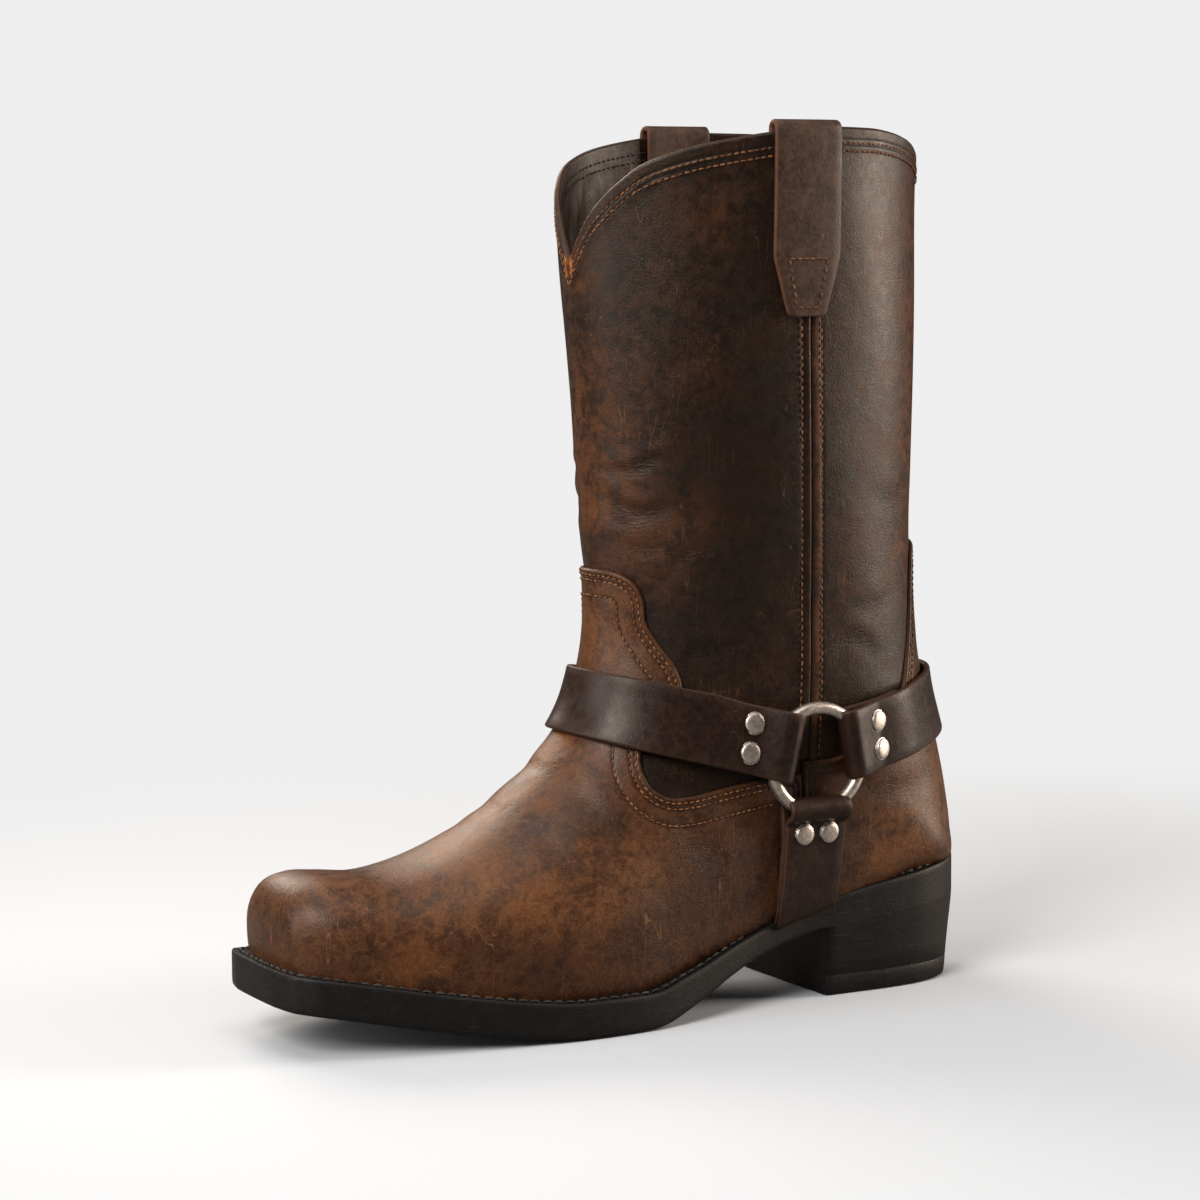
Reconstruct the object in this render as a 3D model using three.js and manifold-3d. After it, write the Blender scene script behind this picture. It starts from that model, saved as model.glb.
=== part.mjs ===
// A square-toed western harness boot, the left one of a pair, standing empty on its sole.
// Millimetres, +Z up, the toe towards -Y and the outer side of the foot towards +X.
// The origin is the middle of the heel's resting face, on the floor.

import * as THREE from "three";
import { mergeVertices } from "three/addons/utils/BufferGeometryUtils.js";
import Module from "manifold-3d";

const wasm = await Module();
wasm.setup();

// Sole and heel.
const soleLength = 311;
const ballWidth = 107;
const heelBaseLength = 72; // breast to back, on the floor
const heelBackOverhang = 3.5; // how far the sole reaches behind the heel's base
const toeSpring = 18; // the outsole's lowest edge at the toe, above the floor
const heelLift = 28.5; // the outsole's underside at the heel breast, above the floor
const outsoleThickness = 10.5; // at the forepart
const weltThickness = 3.5;
const topLiftThickness = 8;
const heelTaper = 3; // how far the heel's base stands in from its seat, all round
const liftTaper = 2.4; // the same at the top of the top lift
const weltWidth = 9;

// Upper.
const bootHeight = 348; // floor to the highest point of the collar
const instepHeight = 134; // floor to the bend where vamp and shaft meet at the front
const frontDip = 52; // how far the collar dips at the front
const backDip = 16; // and at the back
const shaftDepth = 155; // front to back at the collar
const shaftWidth = 104; // side to side at the collar
const shaftFrontShare = 0.5; // the shaft's middle, as a share of the depth behind its front
const wallThickness = 2.4;
const insoleThickness = 5;
const insoleEase = 4; // the insole's edge, inside the wall
const overlayThickness = 1.8; // vamp and counter, sewn over the upper

// Harness.
const strapWidth = 28;
const strapThickness = 2.5;
const ringRadius = 20.7; // to the middle of the wire
const ringWire = 5;
const ringHeight = 99; // floor to the ring's middle
const ringBehindToe = 224; // toe to the ring's middle
const frontStrapClimb = 14; // degrees that the front strap climbs towards the instep
const rearStrapClimb = 10.5; // degrees that the rear strap climbs towards the back
const rivetHead = 8.2;
const rivetRise = 1.7; // how far a rivet's dome stands up
const rivetShank = 3;
const rivetSpacing = 11.8; // between the two rivets of a pair
const rivetFromRing = 30; // from the ring's middle to a strap's pair of rivets
const beltEase = 0.8; // how much farther off the leather a strap lies where it is one layer
const strapLift = 2.5; // the front and rear straps' middle lines, above the ring's middle
const foldInside = 14; // ring's middle to the nose of a strap's fold
const foldOutside = 44; // ring's middle to where the fold's two layers have come together

// Pull straps and side seams.
const pullWidth = 30;
const pullEndWidth = 17;
const pullThickness = 2.2;
const pullLength = 73; // collar to the end of the outer leg
const pullTaper = 23; // length of the narrowing end
const pullInside = 60; // collar to the end of the inner leg
const pullRise = 0.8; // how far the strap clears the collar's edge
const pipingWidth = 8;
const pipingThickness = 1.2;
const pipingLean = 3; // the seam's upper end, behind the pull strap's middle

const gap = 0.3; // between curved pieces that touch
const rivetClearance = 0.3; // round a rivet's shank
const toeTip = heelBaseLength / 2 + heelBackOverhang - soleLength;
const heelBack = toeTip + soleLength;

// A smooth curve through a table that never swings past its own values.
function steadyCurve(at, value) {
  const n = at.length;
  const slope = [];
  for (let i = 0; i < n - 1; i++) slope.push((value[i + 1] - value[i]) / (at[i + 1] - at[i]));
  const tangent = [slope[0]];
  for (let i = 1; i < n - 1; i++) {
    const same = slope[i - 1] * slope[i] > 0;
    tangent.push(same ? (2 * slope[i - 1] * slope[i]) / (slope[i - 1] + slope[i]) : 0);
  }
  tangent.push(slope[n - 2]);
  return (x) => hermite(at, value, tangent, x);
}

// A smooth curve through a table with the roundest joins, for shapes that swell and shrink.
function fairCurve(at, value) {
  const n = at.length;
  const slope = [];
  for (let i = 0; i < n - 1; i++) slope.push((value[i + 1] - value[i]) / (at[i + 1] - at[i]));
  const tangent = [slope[0]];
  for (let i = 1; i < n - 1; i++) {
    const before = at[i] - at[i - 1];
    const after = at[i + 1] - at[i];
    tangent.push((slope[i - 1] * after + slope[i] * before) / (before + after));
  }
  tangent.push(slope[n - 2]);
  return (x) => hermite(at, value, tangent, x);
}

function hermite(at, value, tangent, x) {
  const last = at.length - 1;
  if (x <= at[0]) return value[0];
  if (x >= at[last]) return value[last];
  let i = 0;
  while (x > at[i + 1]) i++;
  const span = at[i + 1] - at[i];
  const t = (x - at[i]) / span;
  const a = 2 * t ** 3 - 3 * t ** 2 + 1;
  const b = t ** 3 - 2 * t ** 2 + t;
  const c = -2 * t ** 3 + 3 * t ** 2;
  const d = t ** 3 - t ** 2;
  return a * value[i] + b * span * tangent[i] + c * value[i + 1] + d * span * tangent[i + 1];
}

// Rows of numbers under named columns.
function tableOf(columns, rows) {
  const names = columns.split(" ");
  return rows.map((row) => Object.fromEntries(names.map((name, i) => [name, row[i]])));
}

// The outsole's underside along the foot: along is a share of soleLength from the toe, toe a
// share of toeSpring and heel a share of heelLift. thick is a share of outsoleThickness.
const solePath = tableOf(
  "along toe heel thick",
  [
    [0, 1, 0, 1],
    [0.051, 0.86, 0, 1],
    [0.103, 0.7, 0, 1],
    [0.154, 0.53, 0, 1],
    [0.206, 0.37, 0, 1],
    [0.257, 0.22, 0, 1],
    [0.305, 0.1, 0, 1],
    [0.347, 0.02, 0, 1],
    [0.37, 0, 0, 1],
    [0.466, 0, 0, 0.98],
    [0.492, 0, 0.045, 0.95],
    [0.521, 0, 0.16, 0.87],
    [0.556, 0, 0.32, 0.74],
    [0.598, 0, 0.53, 0.62],
    [0.643, 0, 0.715, 0.58],
    [0.695, 0, 0.88, 0.62],
    [0.757, 0, 1, 0.74],
    [0.838, 0, 1.09, 0.9],
    [0.919, 0, 1.18, 0.98],
    [1, 0, 1.27, 1.05],
  ],
);
const alongFoot = (share) => toeTip + share * soleLength;
const soleColumn = (value) =>
  steadyCurve(
    solePath.map((row) => alongFoot(row.along)),
    solePath.map(value),
  );
const soleUnder = soleColumn((row) => row.toe * toeSpring + row.heel * heelLift);
const soleThickness = soleColumn((row) => row.thick * outsoleThickness);
const forefootFlat = [alongFoot(solePath[8].along), alongFoot(solePath[9].along)];

// The height at y of a layer whose thickness above the outsole's underside is measured square to it.
function layerHeight(y, depth) {
  const step = 2;
  const slope = (soleUnder(y + step) - soleUnder(y - step)) / (2 * step);
  return soleUnder(y) + depth * Math.hypot(1, slope);
}
const outsoleTop = (y) => layerHeight(y, soleThickness(y));
const weltUnder = (y) => layerHeight(y, soleThickness(y) + gap);
const seatHeight = (y) => layerHeight(y, soleThickness(y) + gap + weltThickness);

// The sole's outline: shares of soleLength from the toe, and of half of ballWidth to each side.
const soleOutline = tableOf(
  "along outer inner",
  [
    [0.004, 0.26, 0.4],
    [0.01, 0.42, 0.55],
    [0.026, 0.54, 0.66],
    [0.055, 0.63, 0.735],
    [0.1, 0.72, 0.805],
    [0.165, 0.83, 0.885],
    [0.245, 0.93, 0.955],
    [0.325, 0.99, 0.985],
    [0.4, 1.01, 0.95],
    [0.48, 0.975, 0.855],
    [0.56, 0.875, 0.72],
    [0.64, 0.765, 0.635],
    [0.72, 0.71, 0.64],
    [0.8, 0.705, 0.675],
    [0.865, 0.7, 0.685],
    [0.915, 0.66, 0.65],
    [0.955, 0.56, 0.55],
    [0.981, 0.41, 0.4],
    [0.995, 0.22, 0.21],
  ],
);
const outlineCurve = (side) =>
  fairCurve(
    soleOutline.map((row) => alongFoot(row.along)),
    soleOutline.map((row) => (row[side] * ballWidth) / 2),
  );
const outlineOuter = outlineCurve("outer");
const outlineInner = outlineCurve("inner");

// The outline as a closed line of points, moved inwards by "inset".
function outlineLoop(inset) {
  const points = [new THREE.Vector2(-0.07 * ballWidth, toeTip)];
  const steps = 160;
  const from = alongFoot(soleOutline[0].along);
  const to = alongFoot(soleOutline.at(-1).along);
  for (let i = 0; i <= steps; i++) {
    const y = (from + to) / 2 - ((to - from) / 2) * Math.cos((Math.PI * i) / steps);
    points.push(new THREE.Vector2(outlineOuter(y), y));
  }
  points.push(new THREE.Vector2(0, heelBack));
  for (let i = steps; i >= 0; i--) {
    const y = (from + to) / 2 - ((to - from) / 2) * Math.cos((Math.PI * i) / steps);
    points.push(new THREE.Vector2(-outlineInner(y), y));
  }
  const count = points.length;
  return points.map((point, i) => {
    const before = points[(i + count - 1) % count];
    const after = points[(i + 1) % count];
    const along = after.clone().sub(before).normalize();
    return new THREE.Vector2(point.x - along.y * inset, point.y + along.x * inset);
  });
}

// Where a line across the foot at y meets an outline: the outer and the inner x.
function rungAt(loop, y) {
  let outer = -Infinity;
  let inner = Infinity;
  loop.forEach((a, i) => {
    const b = loop[(i + 1) % loop.length];
    if (a.y > y === b.y > y) return;
    const x = a.x + ((b.x - a.x) * (y - a.y)) / (b.y - a.y);
    outer = Math.max(outer, x);
    inner = Math.min(inner, x);
  });
  return { outer, inner };
}

// Places along the foot where the sole's layers are drawn across, closer together at the toe and
// the heel, with the ends of the flat spots among them.
const rungs = [];
const rungCount = 36;
const heelBreast = -heelBaseLength / 2;
const exactRungs = [...forefootFlat, heelBreast];
for (let i = 0; i <= rungCount; i++) {
  const t = i / rungCount;
  const y = toeTip + soleLength * (t - (0.8 * Math.sin(2 * Math.PI * t)) / (2 * Math.PI));
  if (exactRungs.every((exact) => Math.abs(y - exact) > 1.5)) rungs.push(y);
}
rungs.push(...exactRungs);
rungs.sort((a, b) => a - b);

// A solid from rows of points: rings in order, the first and the last closed by a flat or pointed cap.
function solidFromRings(rings, capStart, capEnd) {
  const count = rings[0].length;
  const points = rings.flat();
  const faces = [];
  for (let r = 0; r < rings.length - 1; r++) {
    for (let i = 0; i < count; i++) {
      const a = r * count + i;
      const b = r * count + ((i + 1) % count);
      faces.push([a, b, b + count], [a, b + count, a + count]);
    }
  }
  const lastRing = (rings.length - 1) * count;
  for (const [cap, first, turn] of [[capStart, 0, 1], [capEnd, lastRing, 0]]) {
    const centre = points.length;
    points.push(cap);
    for (let i = 0; i < count; i++) {
      const a = first + i;
      const b = first + ((i + 1) % count);
      faces.push(turn ? [b, a, centre] : [a, b, centre]);
    }
  }
  return toSolid(points, faces);
}

function toSolid(points, faces) {
  const vertProperties = new Float32Array(points.length * 3);
  points.forEach((p, i) => vertProperties.set([p.x, p.y, p.z], i * 3));
  const triVerts = new Uint32Array(faces.flat());
  const solid = new wasm.Manifold(new wasm.Mesh({ numProp: 3, vertProperties, triVerts }));
  if (solid.volume() >= 0) return solid;
  const turned = faces.map(([a, b, c]) => [a, c, b]);
  const again = new Uint32Array(turned.flat());
  return new wasm.Manifold(new wasm.Mesh({ numProp: 3, vertProperties, triVerts: again }));
}

function middleOf(points) {
  const sum = new THREE.Vector3();
  points.forEach((p) => sum.add(p));
  return sum.divideScalar(points.length);
}

// A layer of the sole: an outline between two heights that change only along the foot.
function soleLayer({ inset, low, high }) {
  const loop = outlineLoop(inset);
  const clear = 0.05;
  const start = Math.min(...loop.map((p) => p.y)) + clear;
  const stop = Math.max(...loop.map((p) => p.y)) - clear;
  const places = [start, ...rungs.filter((y) => y > start + clear && y < stop - clear), stop];
  const rings = places.map((y) => {
    const { outer, inner } = rungAt(loop, y);
    return [
      new THREE.Vector3(outer, y, low(y)),
      new THREE.Vector3(outer, y, high(y)),
      new THREE.Vector3(inner, y, high(y)),
      new THREE.Vector3(inner, y, low(y)),
    ];
  });
  return solidFromRings(rings, middleOf(rings[0]), middleOf(rings.at(-1)));
}

// A part of the heel: the sole's outline behind the breast, between two levels and their insets.
function heelLayer(bottom, top) {
  const cut = outlineLoop(0).map((p) => p.y > heelBreast + 0.5);
  const ring = ({ inset, height }) => {
    const loop = outlineLoop(inset);
    const { outer, inner } = rungAt(loop, heelBreast);
    const every = 3;
    const behind = loop.filter((p, i) => cut[i] && i % every === 0);
    const corners = [new THREE.Vector2(inner, heelBreast), new THREE.Vector2(outer, heelBreast)];
    return [...corners, ...behind].map((p) => new THREE.Vector3(p.x, p.y, height(p.y)));
  };
  const rings = [ring(bottom), ring(top)];
  const caps = [bottom, top].map(({ height }) => new THREE.Vector3(0, 0, height(0)));
  return solidFromRings(rings, ...caps);
}

// The upper's sections, each in a plane that holds the side-to-side direction and fans round the
// instep. front and back are the section's two ends in the side view, front on the ridge of the
// foot or the shin, back on the sole or the heel. Foot rows give shares of soleLength from the
// toe and of instepHeight; widths are shares of half of ballWidth. ridge is how far the top leans
// to the outer side, belly the height of the widest place, crown the squareness of the top and
// round how far the back end is an oval rather than a flat sole with corners. The over columns say
// how much of vamp or counter lies on the upper there: at the front end, the back end, the sides.
const footSections = tableOf(
  "frontAlong frontUp backAlong backUp outer inner ridge belly crown corner round " +
    "overFront overBack overSide",
  [
    [0.0257, 0.385, 0.0257, 0.275, 0.19, 0.33, -0.07, 0.5, 2.2, 0.1, 0.4, 1, 0, 1],
    [0.0308, 0.432, 0.0308, 0.225, 0.36, 0.49, -0.07, 0.48, 2.4, 0.12, 0.2, 1, 0, 1],
    [0.0428, 0.466, 0.0428, 0.19, 0.455, 0.58, -0.07, 0.44, 2.6, 0.12, 0, 1, 0, 1],
    [0.067, 0.48, 0.065, 0.17, 0.545, 0.66, -0.065, 0.42, 2.7, 0.12, 0, 1, 0, 1],
    [0.103, 0.475, 0.1, 0.156, 0.63, 0.725, -0.06, 0.4, 2.65, 0.12, 0, 1, 0, 1],
    [0.154, 0.464, 0.15, 0.138, 0.715, 0.785, -0.05, 0.38, 2.5, 0.12, 0, 1, 0, 1],
    [0.209, 0.4835, 0.208, 0.119, 0.79, 0.835, -0.04, 0.36, 2.35, 0.12, 0, 1, 0, 1],
    [0.263, 0.527, 0.268, 0.099, 0.855, 0.87, -0.04, 0.33, 2.2, 0.12, 0, 1, 0, 1],
    [0.317, 0.594, 0.335, 0.082, 0.895, 0.87, -0.04, 0.3, 2.1, 0.13, 0, 1, 0, 1],
    [0.366, 0.678, 0.403, 0.075, 0.905, 0.84, -0.04, 0.29, 2.02, 0.14, 0, 1, 0, 1],
    [0.406, 0.764, 0.474, 0.077, 0.88, 0.79, -0.035, 0.31, 1.98, 0.16, 0, 1, 0, 1],
    [0.4357, 0.853, 0.55, 0.12, 0.825, 0.745, -0.03, 0.35, 1.95, 0.2, 0, 1, 0, 1],
    [0.4518, 0.93, 0.635, 0.185, 0.785, 0.725, -0.02, 0.4, 1.95, 0.24, 0, 1, 0, 1],
    [0.4598, 1, 0.725, 0.235, 0.76, 0.72, -0.01, 0.44, 1.97, 0.26, 0, 1, 0, 1],
    [0.4646, 1.065, 0.825, 0.28, 0.745, 0.72, 0, 0.48, 2, 0.28, 0.04, 1, 0, 1],
    [0.4669, 1.122, 0.922, 0.318, 0.74, 0.725, 0, 0.5, 2, 0.4, 0.12, 1, 0.3, 1],
    [0.4678, 1.175, 0.989, 0.345, 0.74, 0.73, 0, 0.5, 2, 0.45, 0.32, 1, 1, 0.9],
    [0.4678, 1.228, 0.9975, 0.432, 0.742, 0.735, 0, 0.5, 2, 0.5, 0.62, 1, 1, 0.7],
    [0.4678, 1.282, 0.9965, 0.56, 0.745, 0.742, 0, 0.5, 2, 0.55, 0.88, 1, 1, 0.4],
    [0.4672, 1.343, 0.9842, 0.71, 0.757, 0.755, 0, 0.5, 2, 0.6, 1, 0.5, 1, 0.15],
  ],
);

// Shaft rows: depth is a share of half of shaftDepth before and behind the shaft's middle, up a
// share of the way from instepHeight to bootHeight, and the widths are shares of half of shaftWidth.
const shaftSections = tableOf(
  "frontDepth frontUp backDepth backUp outer inner crown overFront overBack",
  [
    [0.897, 0.263, 1.098, -0.075, 0.79, 0.785, 2.02, 0, 1],
    [0.903, 0.324, 1.049, 0.052, 0.82, 0.815, 2.05, 0, 1],
    [0.911, 0.404, 1.01, 0.207, 0.865, 0.86, 2.1, 0, 0.6],
    [0.924, 0.512, 0.996, 0.38, 0.915, 0.91, 2.12, 0, 0],
    [0.948, 0.662, 0.9935, 0.601, 0.962, 0.96, 2.15, 0, 0],
    [0.978, 0.836, 0.996, 0.817, 0.99, 0.99, 2.15, 0, 0],
    [1, 1, 1, 1, 1, 1, 2.15, 0, 0],
  ],
);
const shaftMiddle = alongFoot(0.4405) + shaftDepth * shaftFrontShare;

const halfBall = ballWidth / 2;
function resolveFoot(row) {
  return {
    frontY: alongFoot(row.frontAlong),
    frontZ: row.frontUp * instepHeight,
    backY: alongFoot(row.backAlong),
    backZ: row.backUp * instepHeight,
    outer: row.outer * halfBall,
    inner: row.inner * halfBall,
    ridge: row.ridge * halfBall,
    belly: row.belly,
    crown: row.crown,
    corner: row.corner * halfBall,
    round: row.round,
    over: [row.overFront, row.overBack, row.overSide],
  };
}
function resolveShaft(row) {
  const rise = bootHeight - instepHeight;
  return {
    frontY: shaftMiddle - (row.frontDepth * shaftDepth) / 2,
    frontZ: instepHeight + row.frontUp * rise,
    backY: shaftMiddle + (row.backDepth * shaftDepth) / 2,
    backZ: instepHeight + row.backUp * rise,
    outer: (row.outer * shaftWidth) / 2,
    inner: (row.inner * shaftWidth) / 2,
    ridge: 0,
    belly: 0.5,
    crown: row.crown,
    corner: 0.6 * halfBall,
    round: 1,
    over: [row.overFront, row.overBack, 0],
  };
}

// Where vamp or counter cover the upper, its own face lies that much inside the outline.
function underOverlays({ over, ...section }) {
  const [front, back, side] = over.map((share) => share * (overlayThickness + gap));
  const { frontY, frontZ, backY, backZ } = section;
  const height = Math.hypot(frontY - backY, frontZ - backZ);
  const towards = (share) => [frontY + (backY - frontY) * share, frontZ + (backZ - frontZ) * share];
  [section.frontY, section.frontZ] = towards(front / height);
  [section.backY, section.backZ] = towards(1 - back / height);
  section.outer -= side;
  section.inner -= side;
  return section;
}
const resolved = [...footSections.map(resolveFoot), ...shaftSections.map(resolveShaft)];
const stations = resolved.map(underOverlays);

// Distance travelled from station to station, averaged over the two ends.
const stationAt = [0];
for (let i = 1; i < stations.length; i++) {
  const a = stations[i - 1];
  const b = stations[i];
  const front = Math.hypot(b.frontY - a.frontY, b.frontZ - a.frontZ);
  const back = Math.hypot(b.backY - a.backY, b.backZ - a.backZ);
  stationAt.push(stationAt[i - 1] + (front + back) / 2);
}
const stationCurves = Object.fromEntries(
  Object.keys(stations[0]).map((key) => [key, fairCurve(stationAt, stations.map((s) => s[key]))]),
);
const sectionAt = (v) =>
  Object.fromEntries(Object.entries(stationCurves).map(([key, curve]) => [key, curve(v)]));

// Evenly spread points along a line of [x, s] pairs, at the given shares of its length.
function pointsAlong(line, lengthOf, shares) {
  const run = [0];
  for (let i = 1; i < line.length; i++) run.push(run[i - 1] + lengthOf(line[i - 1], line[i]));
  return shares.map((share) => {
    const want = share * run.at(-1);
    let i = 0;
    while (i < line.length - 2 && run[i + 1] < want) i++;
    const t = (want - run[i]) / Math.max(run[i + 1] - run[i], 1e-9);
    return [0, 1].map((k) => line[i][k] + (line[i + 1][k] - line[i][k]) * Math.min(t, 1));
  });
}

// Half a section from its front end to its back end: [x, s] with s the share from back to front.
const quarterPoints = 7;
const cornerPoint = 5; // of the quarterPoints behind the belly, those before the flat sole starts
function halfSection(section, wide, height) {
  const { belly, crown, corner, round } = section;
  const dense = 28;
  const lengthOf = (a, b) => Math.hypot(a[0] - b[0], (a[1] - b[1]) * height);
  const top = [];
  for (let i = 0; i <= dense; i++) {
    const angle = (Math.PI / 2) * (i / dense);
    const x = wide * Math.sin(angle) ** (2 / crown);
    top.push([x, belly + (1 - belly) * Math.max(Math.cos(angle), 0) ** (2 / crown)]);
  }
  const radius = Math.min(corner, wide * 0.98, belly * height * 0.98);
  const tuck = 0.045 * wide * (1 - round);
  const bottom = [];
  for (let i = 0; i <= dense; i++) {
    const s = belly * (1 - Math.sin((Math.PI / 2) * (i / dense)));
    const drop = (belly - s) / belly;
    const fromSole = s * height;
    const inCorner = Math.max(radius - fromSole, 0);
    const cornered = wide - tuck * drop ** 2 - radius + Math.sqrt(radius ** 2 - inCorner ** 2);
    const oval = wide * Math.sqrt(Math.max(1 - drop ** 2.1, 0));
    bottom.push([cornered * (1 - round) + oval * round, s]);
  }
  let cornerRun = 0;
  for (let i = 1; i <= dense; i++) cornerRun += lengthOf(bottom[i - 1], bottom[i]);
  const flat = bottom.at(-1)[0];
  bottom.push([0, 0]);
  const split =
    (cornerRun / (cornerRun + flat)) * (1 - round) + (cornerPoint / quarterPoints) * round;
  const even = Array.from({ length: quarterPoints }, (_, i) => i / quarterPoints);
  const uneven = Array.from({ length: quarterPoints + 1 }, (_, i) =>
    i <= cornerPoint
      ? (i / cornerPoint) * split
      : split + ((i - cornerPoint) / (quarterPoints - cornerPoint)) * (1 - split),
  );
  return [...pointsAlong(top, lengthOf, even), ...pointsAlong(bottom, lengthOf, uneven)];
}

function sectionRing(v) {
  const section = sectionAt(v);
  const { frontY, frontZ, backY, backZ, outer, inner, ridge } = section;
  const height = Math.hypot(frontY - backY, frontZ - backZ);
  const place = (x, s) =>
    new THREE.Vector3(x, backY + (frontY - backY) * s, backZ + (frontZ - backZ) * s);
  const outerHalf = halfSection(section, outer - ridge, height);
  const innerHalf = halfSection(section, inner + ridge, height);
  const outerPoints = outerHalf.map(([x, s]) => place(ridge + x, s));
  const innerPoints = innerHalf.slice(1, -1).map(([x, s]) => place(ridge - x, s));
  return [...outerPoints, ...innerPoints.reverse()];
}

// The collar's line: a sharp dip at the front and a softer one at the back. around is the share of
// the way round from the front, to 0.5 at the back, and the dips are shares of frontDip and backDip.
const collarLine = tableOf(
  "around front back",
  [
    [0, 1, 0],
    [0.014, 0.83, 0],
    [0.028, 0.68, 0],
    [0.046, 0.53, 0],
    [0.068, 0.39, 0],
    [0.087, 0.285, 0],
    [0.119, 0.19, 0],
    [0.147, 0.132, 0],
    [0.183, 0.08, 0],
    [0.22, 0.037, 0],
    [0.27, 0, 0],
    [0.33, 0, 0.02],
    [0.36, 0, 0.09],
    [0.4, 0, 0.27],
    [0.45, 0, 0.7],
    [0.5, 0, 1],
  ],
);
const collarCurve = steadyCurve(
  collarLine.map((row) => row.around),
  collarLine.map((row) => row.front * frontDip + row.back * backDip),
);
const collarDrop = (around) => collarCurve(Math.min(around, 1 - around));
const dipStart = 0.62; // as a share of the way up the sections, where the rows start to follow the dip

function shapedRing(v) {
  const ring = sectionRing(v);
  const end = stationAt.at(-1);
  const follow = Math.max((v / end - dipStart) / (1 - dipStart), 0) ** 1.5;
  ring.forEach((p, i) => {
    p.z -= collarDrop(i / ring.length) * follow;
  });
  return ring;
}

const rowPlaces = [];
const longestRow = 24; // the farthest that two rows of the form lie apart
for (let i = 0; i < stations.length - 1; i++) {
  const span = stationAt[i + 1] - stationAt[i];
  const parts = Math.ceil(span / longestRow);
  for (let k = 0; k < parts; k++) rowPlaces.push(stationAt[i] + (span * k) / parts);
}
rowPlaces.push(stationAt.at(-1));
const lastRings = rowPlaces.map(shapedRing);

// The way out of the upper at each of its points.
const lastNormals = lastRings.map((ring, r) =>
  ring.map((_, i) => {
    const count = ring.length;
    const before = lastRings[Math.max(r - 1, 0)][i];
    const after = lastRings[Math.min(r + 1, lastRings.length - 1)][i];
    const left = ring[(i + count - 1) % count];
    const right = ring[(i + 1) % count];
    const up = after.clone().sub(before);
    const round = right.clone().sub(left);
    return round.cross(up).normalize();
  }),
);

// The upper's form grown by "offset", as rings, with the toe closed to a point.
function grownRings(offset) {
  return lastRings.map((ring, r) =>
    ring.map((p, i) => p.clone().addScaledVector(lastNormals[r][i], offset)),
  );
}
function toePoint(rings, offset) {
  const centre = middleOf(rings[0]);
  centre.y = Math.min(...rings[0].map((p) => p.y)) - 0.6 - Math.max(offset, 0) * 0.2;
  return centre;
}

// The form grown by "offset" as a closed solid. Its top is closed just inside the collar, or
// carried up past it where "past" is given.
function grownSolid(offset, past = 0) {
  const rings = grownRings(offset);
  const top = rings.at(-1);
  const middle = middleOf(top);
  if (past > 0) {
    rings.push(top.map((p) => new THREE.Vector3(p.x, p.y, bootHeight + past)));
    middle.z = bootHeight + past;
  } else {
    const inset = 3 * wallThickness; // deep enough that the wall's top face is flat
    rings.push(
      top.map((p) => {
        const inwards = new THREE.Vector3(middle.x - p.x, middle.y - p.y, 0).setLength(inset);
        return p.clone().add(inwards);
      }),
    );
  }
  return solidFromRings(rings, toePoint(rings, offset), middle);
}

// Everything below the line where the upper meets the welt.
function belowSeat(clearance) {
  const half = ballWidth;
  const reach = 40;
  const deep = -40;
  const rings = [toeTip - reach, ...rungs, heelBack + reach].map((y) => {
    const z = seatHeight(y) + clearance;
    return [
      new THREE.Vector3(half, y, deep),
      new THREE.Vector3(half, y, z),
      new THREE.Vector3(-half, y, z),
      new THREE.Vector3(-half, y, deep),
    ];
  });
  return solidFromRings(rings, middleOf(rings[0]), middleOf(rings.at(-1)));
}

const outerForm = grownSolid(0);
const innerForm = grownSolid(-wallThickness, 30);
const seatCutter = belowSeat(gap);
const upper = outerForm.subtract(innerForm).subtract(seatCutter);

const hollow = soleLayer({ inset: weltWidth, low: () => -10, high: () => bootHeight });
const welt = soleLayer({ inset: 0, low: weltUnder, high: seatHeight }).subtract(hollow);
const outsole = soleLayer({ inset: 0, low: soleUnder, high: outsoleTop });
const heelBlock = heelLayer(
  { inset: liftTaper, height: () => topLiftThickness },
  { inset: 0, height: (y) => soleUnder(y) - gap },
);
const topLift = heelLayer(
  { inset: heelTaper, height: () => 0 },
  { inset: liftTaper, height: () => topLiftThickness - gap },
);
const insoleInset = weltWidth + wallThickness + insoleEase;
const footBed = soleLayer({
  inset: insoleInset,
  low: (y) => seatHeight(y) - gap,
  high: (y) => seatHeight(y) + insoleThickness,
});
const filler = soleLayer({
  inset: weltWidth + gap,
  low: weltUnder,
  high: seatHeight,
});
const insole = footBed.add(filler);

// A solid that runs straight across the boot with an outline drawn in the side view, as [y, z].
function acrossFrom(outline, from, to) {
  const shape = new THREE.Shape(outline.map(([y, z]) => new THREE.Vector2(y, z)));
  const extruded = new THREE.ExtrudeGeometry(shape, { depth: to - from, bevelEnabled: false });
  return solidOf(extruded, (p) => new THREE.Vector3(p.z + from, p.x, p.y));
}

// A three.js geometry as a solid, each of its points moved by place.
function solidOf(geometry, place) {
  geometry.deleteAttribute("normal");
  geometry.deleteAttribute("uv");
  const merged = mergeVertices(geometry, 1e-4);
  const position = merged.getAttribute("position");
  const points = [];
  for (let i = 0; i < position.count; i++) {
    points.push(place(new THREE.Vector3().fromBufferAttribute(position, i)));
  }
  const index = Array.from(merged.index.array);
  const faces = [];
  for (let i = 0; i < index.length; i += 3) faces.push(index.slice(i, i + 3));
  return toSolid(points, faces);
}

// A band drawn in the side view: from a point, along a direction in degrees above the rear
// horizontal, so long and so wide, with its width centred on the line.
function band(y, z, degrees, length, width) {
  const turn = THREE.MathUtils.degToRad(degrees);
  const along = [Math.cos(turn), Math.sin(turn)];
  const corner = (run, side) => [
    y + along[0] * run - along[1] * side,
    z + along[1] * run + along[0] * side,
  ];
  const half = width / 2;
  return [corner(0, -half), corner(length, -half), corner(length, half), corner(0, half)];
}

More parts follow.
